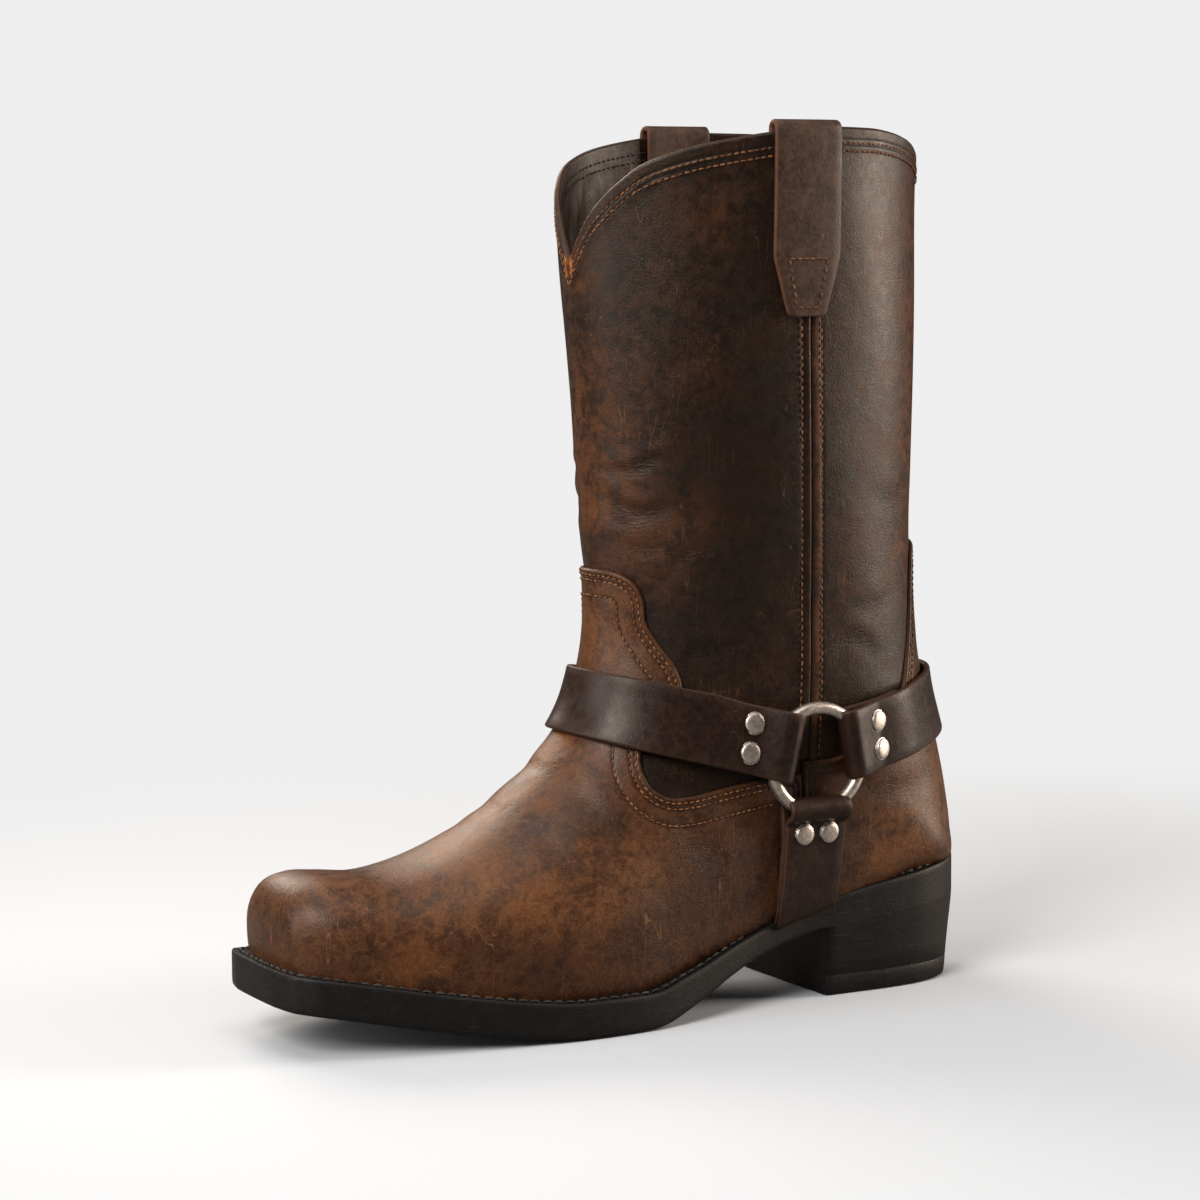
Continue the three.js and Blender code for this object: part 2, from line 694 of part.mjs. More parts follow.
// A layer of leather that follows the upper between two distances from its face.
const shell = (low, high) => grownSolid(high, 30).subtract(grownSolid(low, 30));

// Where a side view's point meets the upper on one side: the point there and the way out.
function skinAt(side, y, z) {
  let best = null;
  for (let r = 0; r < lastRings.length - 1; r++) {
    const ring = lastRings[r];
    const next = lastRings[r + 1];
    ring.forEach((a, i) => {
      const j = (i + 1) % ring.length;
      for (const [p, q, t] of [[a, ring[j], next[j]], [a, next[j], next[i]]]) {
        const det = (q.y - p.y) * (t.z - p.z) - (t.y - p.y) * (q.z - p.z);
        if (Math.abs(det) < 1e-9) continue;
        const u = ((y - p.y) * (t.z - p.z) - (t.y - p.y) * (z - p.z)) / det;
        const v = ((q.y - p.y) * (z - p.z) - (y - p.y) * (q.z - p.z)) / det;
        if (u < 0 || v < 0 || u + v > 1) continue;
        const x = p.x + u * (q.x - p.x) + v * (t.x - p.x);
        if (best && best.point.x * side >= x * side) continue;
        const normal = q.clone().sub(p).cross(t.clone().sub(p)).normalize();
        if (normal.x * side < 0) normal.negate();
        best = { point: new THREE.Vector3(x, y, z), normal };
      }
    });
  }
  return best;
}

// The overlays. The outlines are drawn in the side view, in shares of the way from the toe to the
// ring (along) and of ringHeight (up), and the same outline shapes both sides.
const ringY = toeTip + ringBehindToe;
const sideOutline = (rows) =>
  rows.map(([along, up]) => [toeTip + along * ringBehindToe, up * ringHeight]);
const vampOutline = sideOutline([
  [-0.1, -0.1],
  [0.985, -0.1],
  [0.985, 0.935],
  [0.935, 0.935],
  [0.872, 0.92],
  [0.81, 0.9],
  [0.755, 0.882],
  [0.715, 0.885],
  [0.69, 0.92],
  [0.68, 0.98],
  [0.683, 1.06],
  [0.705, 1.14],
  [0.748, 1.225],
  [0.764, 1.3],
  [0.759, 1.375],
  [0.735, 1.475],
  [0.715, 1.565],
  [0.71, 1.667],
  [0.695, 1.732],
  [0.672, 1.77],
  [0.65, 1.776],
  [-0.1, 1.776],
]);
const counterOutline = sideOutline([
  [0.988, -0.1],
  [1.5, -0.1],
  [1.5, 1.83],
  [1.29, 1.83],
  [1.272, 1.8],
  [1.258, 1.7],
  [1.25, 1.55],
  [1.237, 1.38],
  [1.2, 1.17],
  [1.14, 1.05],
  [1.06, 0.99],
  [0.988, 0.985],
]);
const overlayShell = shell(gap, gap + overlayThickness);
const aboveSeat = (solid) => solid.subtract(seatCutter);
const overWidth = shaftWidth;
const overlay = (outline) =>
  aboveSeat(overlayShell.intersect(acrossFrom(outline, -overWidth, overWidth)));
const vamp = overlay(vampOutline);
const counter = overlay(counterOutline);

// The ring lies on the straps' lower layers, and each strap folds round its wire.
const strapLow = overlayThickness + 2 * gap;
const strapHigh = strapLow + strapThickness;
const doubleHigh = strapHigh + strapThickness;
const ringOut = strapHigh + gap + ringWire / 2;
const foldOut = ringOut + ringWire / 2 + gap + strapThickness;
const ringPlace = (side) => {
  const { point, normal } = skinAt(side, ringY, ringHeight);
  const facing = new THREE.Vector3(normal.x, normal.y, 0).normalize();
  return { middle: point.clone().addScaledVector(facing, ringOut), facing };
};
function ringSolid(side, wire) {
  const { middle, facing } = ringPlace(side);
  const turn = new THREE.Quaternion().setFromUnitVectors(new THREE.Vector3(0, 0, 1), facing);
  const torus = new THREE.TorusGeometry(ringRadius, wire / 2, 6, 20);
  return solidOf(torus, (p) => p.applyQuaternion(turn).add(middle));
}

// A strap's fold round the ring, as a block with a round nose: its section is drawn along the strap
// (from the ring's middle outwards) and out from the boot, and it is as wide as the strap.
function foldBlock(side, { degrees, beside }) {
  const { middle, facing } = ringPlace(side);
  const half = strapWidth / 2;
  const level = (out) => out - ringOut;
  const radius = ringWire / 2 + gap + strapThickness;
  const nose = [];
  const steps = 4;
  for (let i = 0; i <= steps; i++) {
    const turn = (Math.PI * i) / steps;
    nose.push([foldInside + radius - radius * Math.sin(turn), radius * Math.cos(turn)]);
  }
  const section = [
    [foldOutside, level(strapLow)],
    [foldOutside, level(doubleHigh)],
    [rivetFromRing + rivetHead * 0.7, level(doubleHigh)],
    [rivetFromRing - rivetHead * 0.6, level(doubleHigh) + 1],
    [ringRadius + ringWire / 2, level(foldOut) - 0.4],
    ...nose,
    [ringRadius + ringWire, level(strapLow) - 2],
    [foldOutside, level(strapLow) - 2],
  ];
  const shape = new THREE.Shape(section.map(([run, out]) => new THREE.Vector2(run, out)));
  const block = new THREE.ExtrudeGeometry(shape, { depth: strapWidth, bevelEnabled: false });
  const turn = THREE.MathUtils.degToRad(degrees);
  const rear = new THREE.Vector3(0, 1, 0).addScaledVector(facing, -facing.y).normalize();
  const up = new THREE.Vector3(0, 0, 1);
  const along = rear.clone().multiplyScalar(Math.cos(turn)).addScaledVector(up, Math.sin(turn));
  const across = rear.clone().multiplyScalar(-Math.sin(turn)).addScaledVector(up, Math.cos(turn));
  return solidOf(block, (p) =>
    middle
      .clone()
      .addScaledVector(along, p.x)
      .addScaledVector(facing, p.y)
      .addScaledVector(across, p.z - half + beside),
  );
}

// Rivets: a domed head on the strap's face, and a shank down into the leather.
function rivetSolid(at, out, seat, head, shank, rise, depth) {
  const dome = [];
  const steps = 2;
  for (let i = 0; i <= steps; i++) {
    const turn = ((Math.PI / 2) * i) / steps;
    dome.push(new THREE.Vector2((head / 2) * Math.cos(turn), seat + rise * Math.sin(turn)));
  }
  dome[steps].x = 0;
  const profile = [
    new THREE.Vector2(0, seat - depth),
    new THREE.Vector2(shank / 2, seat - depth),
    new THREE.Vector2(shank / 2, seat),
    ...dome,
  ];
  const turn = new THREE.Quaternion().setFromUnitVectors(new THREE.Vector3(0, 1, 0), out);
  const lathe = new THREE.LatheGeometry(profile, 8);
  return solidOf(lathe, (p) => p.applyQuaternion(turn).add(at));
}

// The three straps that meet at a ring: their directions in degrees above the rear horizontal,
// and how far their middle lines pass beside the ring's middle, to the left of that direction.
const strapEnds = {
  front: { degrees: 180 - frontStrapClimb, beside: -strapLift },
  rear: { degrees: rearStrapClimb, beside: strapLift },
  side: { degrees: 270, beside: 0 },
};
function besideRing({ degrees, beside }, run) {
  const turn = THREE.MathUtils.degToRad(degrees);
  return [
    ringY + Math.cos(turn) * run - Math.sin(turn) * beside,
    ringHeight + Math.sin(turn) * run + Math.cos(turn) * beside,
  ];
}
function rivetPair(side, { degrees, beside }) {
  return [-0.5, 0.5].map((share) =>
    skinAt(side, ...besideRing({ degrees, beside: beside + share * rivetSpacing }, rivetFromRing)),
  );
}
const rivetSeat = doubleHigh + 0.2;
const rivetDepth = strapThickness;
const rivetOf = ({ point, normal }) =>
  rivetSolid(point, normal, rivetSeat, rivetHead, rivetShank, rivetRise, rivetDepth);
const rivetRoom = ({ point, normal }) =>
  rivetSolid(point, normal, rivetSeat - gap, rivetHead + 2 * gap, rivetShank + 2 * rivetClearance,
    rivetRise + 6, rivetDepth);

const strapRun = ringRadius + ringWire + strapThickness; // the shell part starts behind the wire
const doubleShell = shell(strapLow, doubleHigh);
const doubleRun = foldOutside - strapRun;
const sides = { outer: 1, inner: -1 };
const halfSpace = (side) => [Math.min(side, 0) * overWidth, Math.max(side, 0) * overWidth];
function strapBand(end, length) {
  return band(...besideRing(end, strapRun), end.degrees, length, strapWidth);
}
function strapEnd(side, end) {
  const doubled = doubleShell.intersect(acrossFrom(strapBand(end, doubleRun), ...halfSpace(side)));
  return doubled.add(foldBlock(side, end).subtract(grownSolid(strapLow, 30)));
}
function finishStrap(solid, end, onSides) {
  return onSides.reduce((left, side) => {
    const cut = rivetPair(side, end).reduce((piece, at) => piece.subtract(rivetRoom(at)), left);
    return cut.subtract(ringSolid(side, ringWire + 2 * gap));
  }, solid);
}

// Where a column of a grown form crosses a line in the side view, on the strap's side of the ring.
function crossing(rings, i, { degrees, beside }, across) {
  const turn = THREE.MathUtils.degToRad(degrees);
  const places = rings.map((ring) => {
    const [y, z] = [ring[i].y - ringY, ring[i].z - ringHeight];
    const left = z * Math.cos(turn) - y * Math.sin(turn) - beside - across;
    return { left, run: y * Math.cos(turn) + z * Math.sin(turn), point: ring[i] };
  });
  for (let r = 0; r < places.length - 1; r++) {
    const [a, b] = [places[r], places[r + 1]];
    if (a.left > 0 === b.left > 0) continue;
    const share = a.left / (a.left - b.left);
    const run = a.run + (b.run - a.run) * share;
    if (run > ringRadius) return { run, point: a.point.clone().lerp(b.point, share) };
  }
  return null;
}

// A strap's single layer round the front or the back, a belt that is straight across its width.
function belt(end, low, high) {
  const acrossShares = [-0.5, 0, 0.5];
  const faces = [grownRings(low), grownRings(high)];
  const columns = lastRings[0].map((_, i) =>
    faces.map((rings) => acrossShares.map((share) => crossing(rings, i, end, share * strapWidth))),
  );
  const rows = columns
    .filter((column) => column.flat().every((place) => place))
    .map(([inside, outside]) => [...inside, ...outside.reverse()])
    .sort((a, b) => Math.atan2(a[0].point.x, a[0].run) - Math.atan2(b[0].point.x, b[0].run))
    .map((row) => row.map((place) => place.point));
  return solidFromRings(rows, middleOf(rows[0]), middleOf(rows.at(-1)));
}
function strapRound(end) {
  const onSides = Object.values(sides);
  const around = belt(end, strapLow + beltEase, strapHigh + beltEase);
  const joined = onSides.reduce((left, side) => left.add(strapEnd(side, end)), around);
  return finishStrap(joined, end, onSides);
}
const frontStrap = strapRound(strapEnds.front);
const rearStrap = strapRound(strapEnds.rear);
function sideStrap(side) {
  const end = strapEnds.side;
  const down = doubleShell.intersect(acrossFrom(strapBand(end, ringHeight), ...halfSpace(side)));
  return finishStrap(aboveSeat(down.add(strapEnd(side, end))), end, [side]);
}

// The pull strap of one side goes over the collar at the shaft's middle.
const pullOutline = [
  [-pullWidth / 2, bootHeight + pullRise + pullThickness],
  [-pullWidth / 2, bootHeight - pullLength + pullTaper],
  [-pullEndWidth / 2, bootHeight - pullLength],
  [pullEndWidth / 2, bootHeight - pullLength],
  [pullWidth / 2, bootHeight - pullLength + pullTaper],
  [pullWidth / 2, bootHeight + pullRise + pullThickness],
].map(([y, z]) => [y + shaftMiddle, z]);
// A plain rectangle as wide as the strap, from a height up to the strap's top.
const pullBox = (from) => {
  const [left, right] = [shaftMiddle - pullWidth / 2, shaftMiddle + pullWidth / 2];
  const to = bootHeight + pullRise + pullThickness;
  return [[left, from], [right, from], [right, to], [left, to]];
};
const pullInner = pullBox(bootHeight - pullInside);
const pullTop = pullBox(bootHeight + pullRise);
function pullStrap(side) {
  const half = halfSpace(side);
  const outerLeg = shell(gap, gap + pullThickness).intersect(acrossFrom(pullOutline, ...half));
  const innerLeg = shell(-wallThickness - gap - pullThickness, -wallThickness - gap);
  const bridge = shell(-wallThickness - gap - pullThickness, gap + pullThickness);
  return outerLeg
    .add(innerLeg.intersect(acrossFrom(pullInner, ...half)))
    .add(bridge.intersect(acrossFrom(pullTop, ...half)));
}

// The piped side seam, from under the pull strap down to the ring.
function sidePiping(side) {
  const half = halfSpace(side);
  const top = [shaftMiddle + pipingLean, bootHeight - pullLength - 2 * gap];
  const foot = [ringY, ringHeight + ringRadius + ringWire];
  const lean = THREE.MathUtils.radToDeg(Math.atan2(foot[1] - top[1], foot[0] - top[0]));
  const length = Math.hypot(foot[0] - top[0], foot[1] - top[1]);
  const strip = shell(gap, gap + pipingThickness);
  return strip.intersect(acrossFrom(band(...top, lean, length, pipingWidth), ...half));
}

function materialOf(color, roughness, metalness) {
  return new THREE.MeshStandardMaterial({ color, roughness, metalness });
}
const shaftLeather = materialOf(0x3b2a22, 0.6, 0);
const blackRubber = materialOf(0x1c1c1e, 0.7, 0);
const insoleLeather = materialOf(0x2a2522, 0.8, 0);
const footLeather = materialOf(0x5a3620, 0.55, 0);
const strapLeather = materialOf(0x3a2a26, 0.5, 0);
const satinSteel = materialOf(0xb8b2a8, 0.35, 1);

const boot = new THREE.Group();
function addPiece(name, solid, material) {
  const made = solid.getMesh();
  const geometry = new THREE.BufferGeometry()
    .setAttribute("position", new THREE.BufferAttribute(new Float32Array(made.vertProperties), 3))
    .setIndex(new THREE.BufferAttribute(new Uint32Array(made.triVerts), 1));
  const mesh = new THREE.Mesh(geometry, material);
  mesh.name = name;
  boot.add(mesh);
}
addPiece("upper", upper, shaftLeather);
addPiece("vamp", vamp, footLeather);
addPiece("counter", counter, footLeather);
addPiece("welt", welt, blackRubber);
addPiece("outsole", outsole, blackRubber);
addPiece("heel_block", heelBlock, blackRubber);
addPiece("heel_top_lift", topLift, blackRubber);
addPiece("insole", insole, insoleLeather);
addPiece("harness_front_strap", frontStrap, strapLeather);
addPiece("harness_rear_strap", rearStrap, strapLeather);
Object.entries(sides).forEach(([sideName, side]) => {
  addPiece(`harness_side_strap_${sideName}`, sideStrap(side), strapLeather);
  addPiece(`harness_ring_${sideName}`, ringSolid(side, ringWire), satinSteel);
  addPiece(`pull_strap_${sideName}`, pullStrap(side), strapLeather);
  addPiece(`side_piping_${sideName}`, sidePiping(side), shaftLeather);
  Object.entries(strapEnds).forEach(([strapName, end]) => {
    rivetPair(side, end).forEach((at, i) => {
      addPiece(`rivet_${strapName}_${sideName}_${i + 1}`, rivetOf(at), satinSteel);
    });
  });
});

export default boot;
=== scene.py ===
import math
import bpy
import bmesh
import numpy as np
from mathutils import Matrix, Vector
from mathutils.kdtree import KDTree


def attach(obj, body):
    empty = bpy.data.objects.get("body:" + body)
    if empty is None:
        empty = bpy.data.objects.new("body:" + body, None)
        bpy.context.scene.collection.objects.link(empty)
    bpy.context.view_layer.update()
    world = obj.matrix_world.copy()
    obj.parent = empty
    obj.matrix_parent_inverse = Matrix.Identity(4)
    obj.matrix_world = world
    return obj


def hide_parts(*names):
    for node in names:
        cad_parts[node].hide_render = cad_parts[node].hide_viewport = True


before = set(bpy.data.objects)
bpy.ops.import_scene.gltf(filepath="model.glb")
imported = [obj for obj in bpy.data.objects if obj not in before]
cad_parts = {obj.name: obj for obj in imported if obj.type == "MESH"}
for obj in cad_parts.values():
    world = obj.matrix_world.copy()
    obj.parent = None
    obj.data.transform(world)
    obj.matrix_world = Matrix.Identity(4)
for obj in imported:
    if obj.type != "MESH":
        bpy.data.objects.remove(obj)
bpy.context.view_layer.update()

mm = 0.001  # the boot's own sizes are in millimetres, the scene is in metres

# the last's form
boot = {
    "soleLength": 311, "ballWidth": 107, "heelBaseLength": 72, "heelBackOverhang": 3.5,
    "toeSpring": 18, "heelLift": 28.5, "outsoleThickness": 10.5, "weltThickness": 3.5,
    "topLiftThickness": 8, "heelTaper": 3, "bootHeight": 348, "instepHeight": 134,
    "frontDip": 52, "backDip": 16, "shaftDepth": 155, "shaftWidth": 104, "wallThickness": 2.4,
    "overlayThickness": 1.8, "gap": 0.3,
}
toeTip = boot["heelBaseLength"] / 2 + boot["heelBackOverhang"] - boot["soleLength"]
heelBack = toeTip + boot["soleLength"]


def alongFoot(share):
    return toeTip + np.asarray(share) * boot["soleLength"]


def tableOf(columns, rows):
    return {name: np.array([row[i] for row in rows], float) for i, name in enumerate(columns.split())}


def hermite(at, value, tangent, x):
    x = np.clip(x, at[0], at[-1])
    i = np.clip(np.searchsorted(at, x, side="right") - 1, 0, len(at) - 2)
    span = at[i + 1] - at[i]
    t = (x - at[i]) / span
    a, b = 2 * t**3 - 3 * t**2 + 1, t**3 - 2 * t**2 + t
    c, d = -2 * t**3 + 3 * t**2, t**3 - t**2
    return a * value[i] + b * span * tangent[i] + c * value[i + 1] + d * span * tangent[i + 1]


def steadyCurve(at, value):  # never swings past its own values
    at, value = np.asarray(at, float), np.asarray(value, float)
    slope = np.diff(value) / np.diff(at)
    product = slope[:-1] * slope[1:]
    total = np.where(product > 0, slope[:-1] + slope[1:], 1)
    inner = np.where(product > 0, 2 * product / total, 0)
    tangent = np.concatenate([slope[:1], inner, slope[-1:]])
    return lambda x: hermite(at, value, tangent, x)


def fairCurve(at, value):  # the roundest joins
    at, value = np.asarray(at, float), np.asarray(value, float)
    step = np.diff(at)
    slope = np.diff(value) / step
    inner = (slope[:-1] * step[1:] + slope[1:] * step[:-1]) / (step[:-1] + step[1:])
    tangent = np.concatenate([slope[:1], inner, slope[-1:]])
    return lambda x: hermite(at, value, tangent, x)


solePath = tableOf("along toe heel thick", [
    (0, 1, 0, 1), (0.051, 0.86, 0, 1), (0.103, 0.7, 0, 1), (0.154, 0.53, 0, 1), (0.206, 0.37, 0, 1),
    (0.257, 0.22, 0, 1), (0.305, 0.1, 0, 1), (0.347, 0.02, 0, 1), (0.37, 0, 0, 1), (0.466, 0, 0, 0.98),
    (0.492, 0, 0.045, 0.95), (0.521, 0, 0.16, 0.87), (0.556, 0, 0.32, 0.74), (0.598, 0, 0.53, 0.62),
    (0.643, 0, 0.715, 0.58), (0.695, 0, 0.88, 0.62), (0.757, 0, 1, 0.74), (0.838, 0, 1.09, 0.9),
    (0.919, 0, 1.18, 0.98), (1, 0, 1.27, 1.05),
])
soleLift = solePath["toe"] * boot["toeSpring"] + solePath["heel"] * boot["heelLift"]
soleUnder = steadyCurve(alongFoot(solePath["along"]), soleLift)
soleThickness = steadyCurve(alongFoot(solePath["along"]), solePath["thick"] * boot["outsoleThickness"])


def layerHeight(y, depth):
    slope = (soleUnder(y + 2) - soleUnder(y - 2)) / 4
    return soleUnder(y) + depth * np.hypot(1, slope)


def seatHeight(y):
    return layerHeight(y, soleThickness(y) + boot["gap"] + boot["weltThickness"])


soleOutline = tableOf("along outer inner", [
    (0.004, 0.26, 0.4), (0.01, 0.42, 0.55), (0.026, 0.54, 0.66), (0.055, 0.63, 0.735), (0.1, 0.72, 0.805),
    (0.165, 0.83, 0.885), (0.245, 0.93, 0.955), (0.325, 0.99, 0.985), (0.4, 1.01, 0.95), (0.48, 0.975, 0.855),
    (0.56, 0.875, 0.72), (0.64, 0.765, 0.635), (0.72, 0.71, 0.64), (0.8, 0.705, 0.675), (0.865, 0.7, 0.685),
    (0.915, 0.66, 0.65), (0.955, 0.56, 0.55), (0.981, 0.41, 0.4), (0.995, 0.22, 0.21),
])
outlineOuter = fairCurve(alongFoot(soleOutline["along"]), soleOutline["outer"] * boot["ballWidth"] / 2)
outlineInner = fairCurve(alongFoot(soleOutline["along"]), soleOutline["inner"] * boot["ballWidth"] / 2)


footSections = tableOf("frontAlong frontUp backAlong backUp outer inner ridge belly crown corner round overFront overBack overSide", [
    (0.0257, 0.385, 0.0257, 0.275, 0.19, 0.33, -0.07, 0.5, 2.2, 0.1, 0.4, 1, 0, 1),
    (0.0308, 0.432, 0.0308, 0.225, 0.36, 0.49, -0.07, 0.48, 2.4, 0.12, 0.2, 1, 0, 1),
    (0.0428, 0.466, 0.0428, 0.19, 0.455, 0.58, -0.07, 0.44, 2.6, 0.12, 0, 1, 0, 1),
    (0.067, 0.48, 0.065, 0.17, 0.545, 0.66, -0.065, 0.42, 2.7, 0.12, 0, 1, 0, 1),
    (0.103, 0.475, 0.1, 0.156, 0.63, 0.725, -0.06, 0.4, 2.65, 0.12, 0, 1, 0, 1),
    (0.154, 0.464, 0.15, 0.138, 0.715, 0.785, -0.05, 0.38, 2.5, 0.12, 0, 1, 0, 1),
    (0.209, 0.4835, 0.208, 0.119, 0.79, 0.835, -0.04, 0.36, 2.35, 0.12, 0, 1, 0, 1),
    (0.263, 0.527, 0.268, 0.099, 0.855, 0.87, -0.04, 0.33, 2.2, 0.12, 0, 1, 0, 1),
    (0.317, 0.594, 0.335, 0.082, 0.895, 0.87, -0.04, 0.3, 2.1, 0.13, 0, 1, 0, 1),
    (0.366, 0.678, 0.403, 0.075, 0.905, 0.84, -0.04, 0.29, 2.02, 0.14, 0, 1, 0, 1),
    (0.406, 0.764, 0.474, 0.077, 0.88, 0.79, -0.035, 0.31, 1.98, 0.16, 0, 1, 0, 1),
    (0.4357, 0.853, 0.55, 0.12, 0.825, 0.745, -0.03, 0.35, 1.95, 0.2, 0, 1, 0, 1),
    (0.4518, 0.93, 0.635, 0.185, 0.785, 0.725, -0.02, 0.4, 1.95, 0.24, 0, 1, 0, 1),
    (0.4598, 1, 0.725, 0.235, 0.76, 0.72, -0.01, 0.44, 1.97, 0.26, 0, 1, 0, 1),
    (0.4646, 1.065, 0.825, 0.28, 0.745, 0.72, 0, 0.48, 2, 0.28, 0.04, 1, 0, 1),
    (0.4669, 1.122, 0.922, 0.318, 0.74, 0.725, 0, 0.5, 2, 0.4, 0.12, 1, 0.3, 1),
    (0.4678, 1.175, 0.989, 0.345, 0.74, 0.73, 0, 0.5, 2, 0.45, 0.32, 1, 1, 0.9),
    (0.4678, 1.228, 0.9975, 0.432, 0.742, 0.735, 0, 0.5, 2, 0.5, 0.62, 1, 1, 0.7),
    (0.4678, 1.282, 0.9965, 0.56, 0.745, 0.742, 0, 0.5, 2, 0.55, 0.88, 1, 1, 0.4),
    (0.4672, 1.343, 0.9842, 0.71, 0.757, 0.755, 0, 0.5, 2, 0.6, 1, 0.5, 1, 0.15),
])
shaftSections = tableOf("frontDepth frontUp backDepth backUp outer inner crown overFront overBack", [
    (0.897, 0.263, 1.098, -0.075, 0.79, 0.785, 2.02, 0, 1),
    (0.903, 0.324, 1.049, 0.052, 0.82, 0.815, 2.05, 0, 1),
    (0.911, 0.404, 1.01, 0.207, 0.865, 0.86, 2.1, 0, 0.6), (0.924, 0.512, 0.996, 0.38, 0.915, 0.91, 2.12, 0, 0),
    (0.948, 0.662, 0.9935, 0.601, 0.962, 0.96, 2.15, 0, 0),
    (0.978, 0.836, 0.996, 0.817, 0.99, 0.99, 2.15, 0, 0), (1, 1, 1, 1, 1, 1, 2.15, 0, 0),
])
collarLine = tableOf("around front back", [
    (0, 1, 0), (0.014, 0.83, 0), (0.028, 0.68, 0), (0.046, 0.53, 0), (0.068, 0.39, 0), (0.087, 0.285, 0),
    (0.119, 0.19, 0), (0.147, 0.132, 0), (0.183, 0.08, 0), (0.22, 0.037, 0), (0.27, 0, 0), (0.33, 0, 0.02),
    (0.36, 0, 0.09), (0.4, 0, 0.27), (0.45, 0, 0.7), (0.5, 0, 1),
])
collarCurve = steadyCurve(
    collarLine["around"], collarLine["front"] * boot["frontDip"] + collarLine["back"] * boot["backDip"]
)
dipStart = 0.62


def stationTable():
    half, rise = boot["ballWidth"] / 2, boot["bootHeight"] - boot["instepHeight"]
    middle = alongFoot(0.4405) + boot["shaftDepth"] / 2
    foot, shaft = footSections, shaftSections
    count = len(shaft["outer"])
    parts = {
        "frontY": (alongFoot(foot["frontAlong"]), middle - shaft["frontDepth"] * boot["shaftDepth"] / 2),
        "frontZ": (foot["frontUp"] * boot["instepHeight"], boot["instepHeight"] + shaft["frontUp"] * rise),
        "backY": (alongFoot(foot["backAlong"]), middle + shaft["backDepth"] * boot["shaftDepth"] / 2),
        "backZ": (foot["backUp"] * boot["instepHeight"], boot["instepHeight"] + shaft["backUp"] * rise),
        "outer": (foot["outer"] * half, shaft["outer"] * boot["shaftWidth"] / 2),
        "inner": (foot["inner"] * half, shaft["inner"] * boot["shaftWidth"] / 2),
        "ridge": (foot["ridge"] * half, np.zeros(count)),
        "belly": (foot["belly"], np.full(count, 0.5)),
        "crown": (foot["crown"], shaft["crown"]),
        "corner": (foot["corner"] * half, np.full(count, 0.6 * half)),
        "round": (foot["round"], np.ones(count)),
    }
    table = {key: np.concatenate(value) for key, value in parts.items()}
    cover = boot["overlayThickness"] + boot["gap"]
    front = np.concatenate([foot["overFront"], shaft["overFront"]]) * cover
    back = np.concatenate([foot["overBack"], shaft["overBack"]]) * cover
    side = np.concatenate([foot["overSide"], np.zeros(count)]) * cover
    height = np.hypot(table["frontY"] - table["backY"], table["frontZ"] - table["backZ"])
    frontY, frontZ, backY, backZ = (table[key].copy() for key in ("frontY", "frontZ", "backY", "backZ"))
    table["frontY"] = frontY + (backY - frontY) * front / height
    table["frontZ"] = frontZ + (backZ - frontZ) * front / height
    table["backY"] = frontY + (backY - frontY) * (1 - back / height)
    table["backZ"] = frontZ + (backZ - frontZ) * (1 - back / height)
    table["outer"] -= side
    table["inner"] -= side
    return table


stations = stationTable()
frontStep = np.hypot(np.diff(stations["frontY"]), np.diff(stations["frontZ"]))
backStep = np.hypot(np.diff(stations["backY"]), np.diff(stations["backZ"]))
stationAt = np.concatenate([[0], np.cumsum((frontStep + backStep) / 2)])
stationCurves = {key: fairCurve(stationAt, value) for key, value in stations.items()}
topPlace = stationAt[-1]


def halfSections(section, wide, height, around):  # (x, s) for each row and each place around
    dense = 60
    angle = np.linspace(0, math.pi / 2, dense + 1)
    power = (2 / section["crown"])[:, None]
    belly, rounded = section["belly"][:, None], section["round"][:, None]
    w, h = wide[:, None], height[:, None]
    topX = w * np.sin(angle) ** power
    topS = belly + (1 - belly) * np.maximum(np.cos(angle), 0) ** power
    drop = np.sin(angle)[None, :]
    lowS = belly * (1 - drop)
    radius = np.minimum(np.minimum(section["corner"][:, None], w * 0.98), belly * h * 0.98)
    inCorner = np.maximum(radius - lowS * h, 0)
    cornered = w - 0.045 * w * (1 - rounded) * drop**2 - radius + np.sqrt(radius**2 - inCorner**2)
    oval = w * np.sqrt(np.maximum(1 - drop**2.1, 0))
    lowX = cornered * (1 - rounded) + oval * rounded
    flat = lowX[:, -1]
    lowX = np.hstack([lowX, np.zeros((len(wide), 1))])
    lowS = np.hstack([lowS, np.zeros((len(wide), 1))])
    topRun = np.hstack([np.zeros((len(wide), 1)), np.cumsum(np.hypot(np.diff(topX), np.diff(topS) * h), 1)])
    lowRun = np.hstack([np.zeros((len(wide), 1)), np.cumsum(np.hypot(np.diff(lowX), np.diff(lowS) * h), 1)])
    cornerRun = lowRun[:, dense]
    split = cornerRun / (cornerRun + flat) * (1 - section["round"]) + 5 / 7 * section["round"]
    upper, lower = around[around <= 0.25] / 0.25, (around[around > 0.25] - 0.25) / 0.25 * 7
    xs, ss = [], []
    for r in range(len(wide)):
        share = np.where(lower <= 5, lower / 5 * split[r], split[r] + (lower - 5) / 2 * (1 - split[r]))
        low, top = share * lowRun[r, -1], upper * topRun[r, -1]
        xs.append(np.concatenate([np.interp(top, topRun[r], topX[r]), np.interp(low, lowRun[r], lowX[r])]))
        ss.append(np.concatenate([np.interp(top, topRun[r], topS[r]), np.interp(low, lowRun[r], lowS[r])]))
    return np.array(xs), np.array(ss)


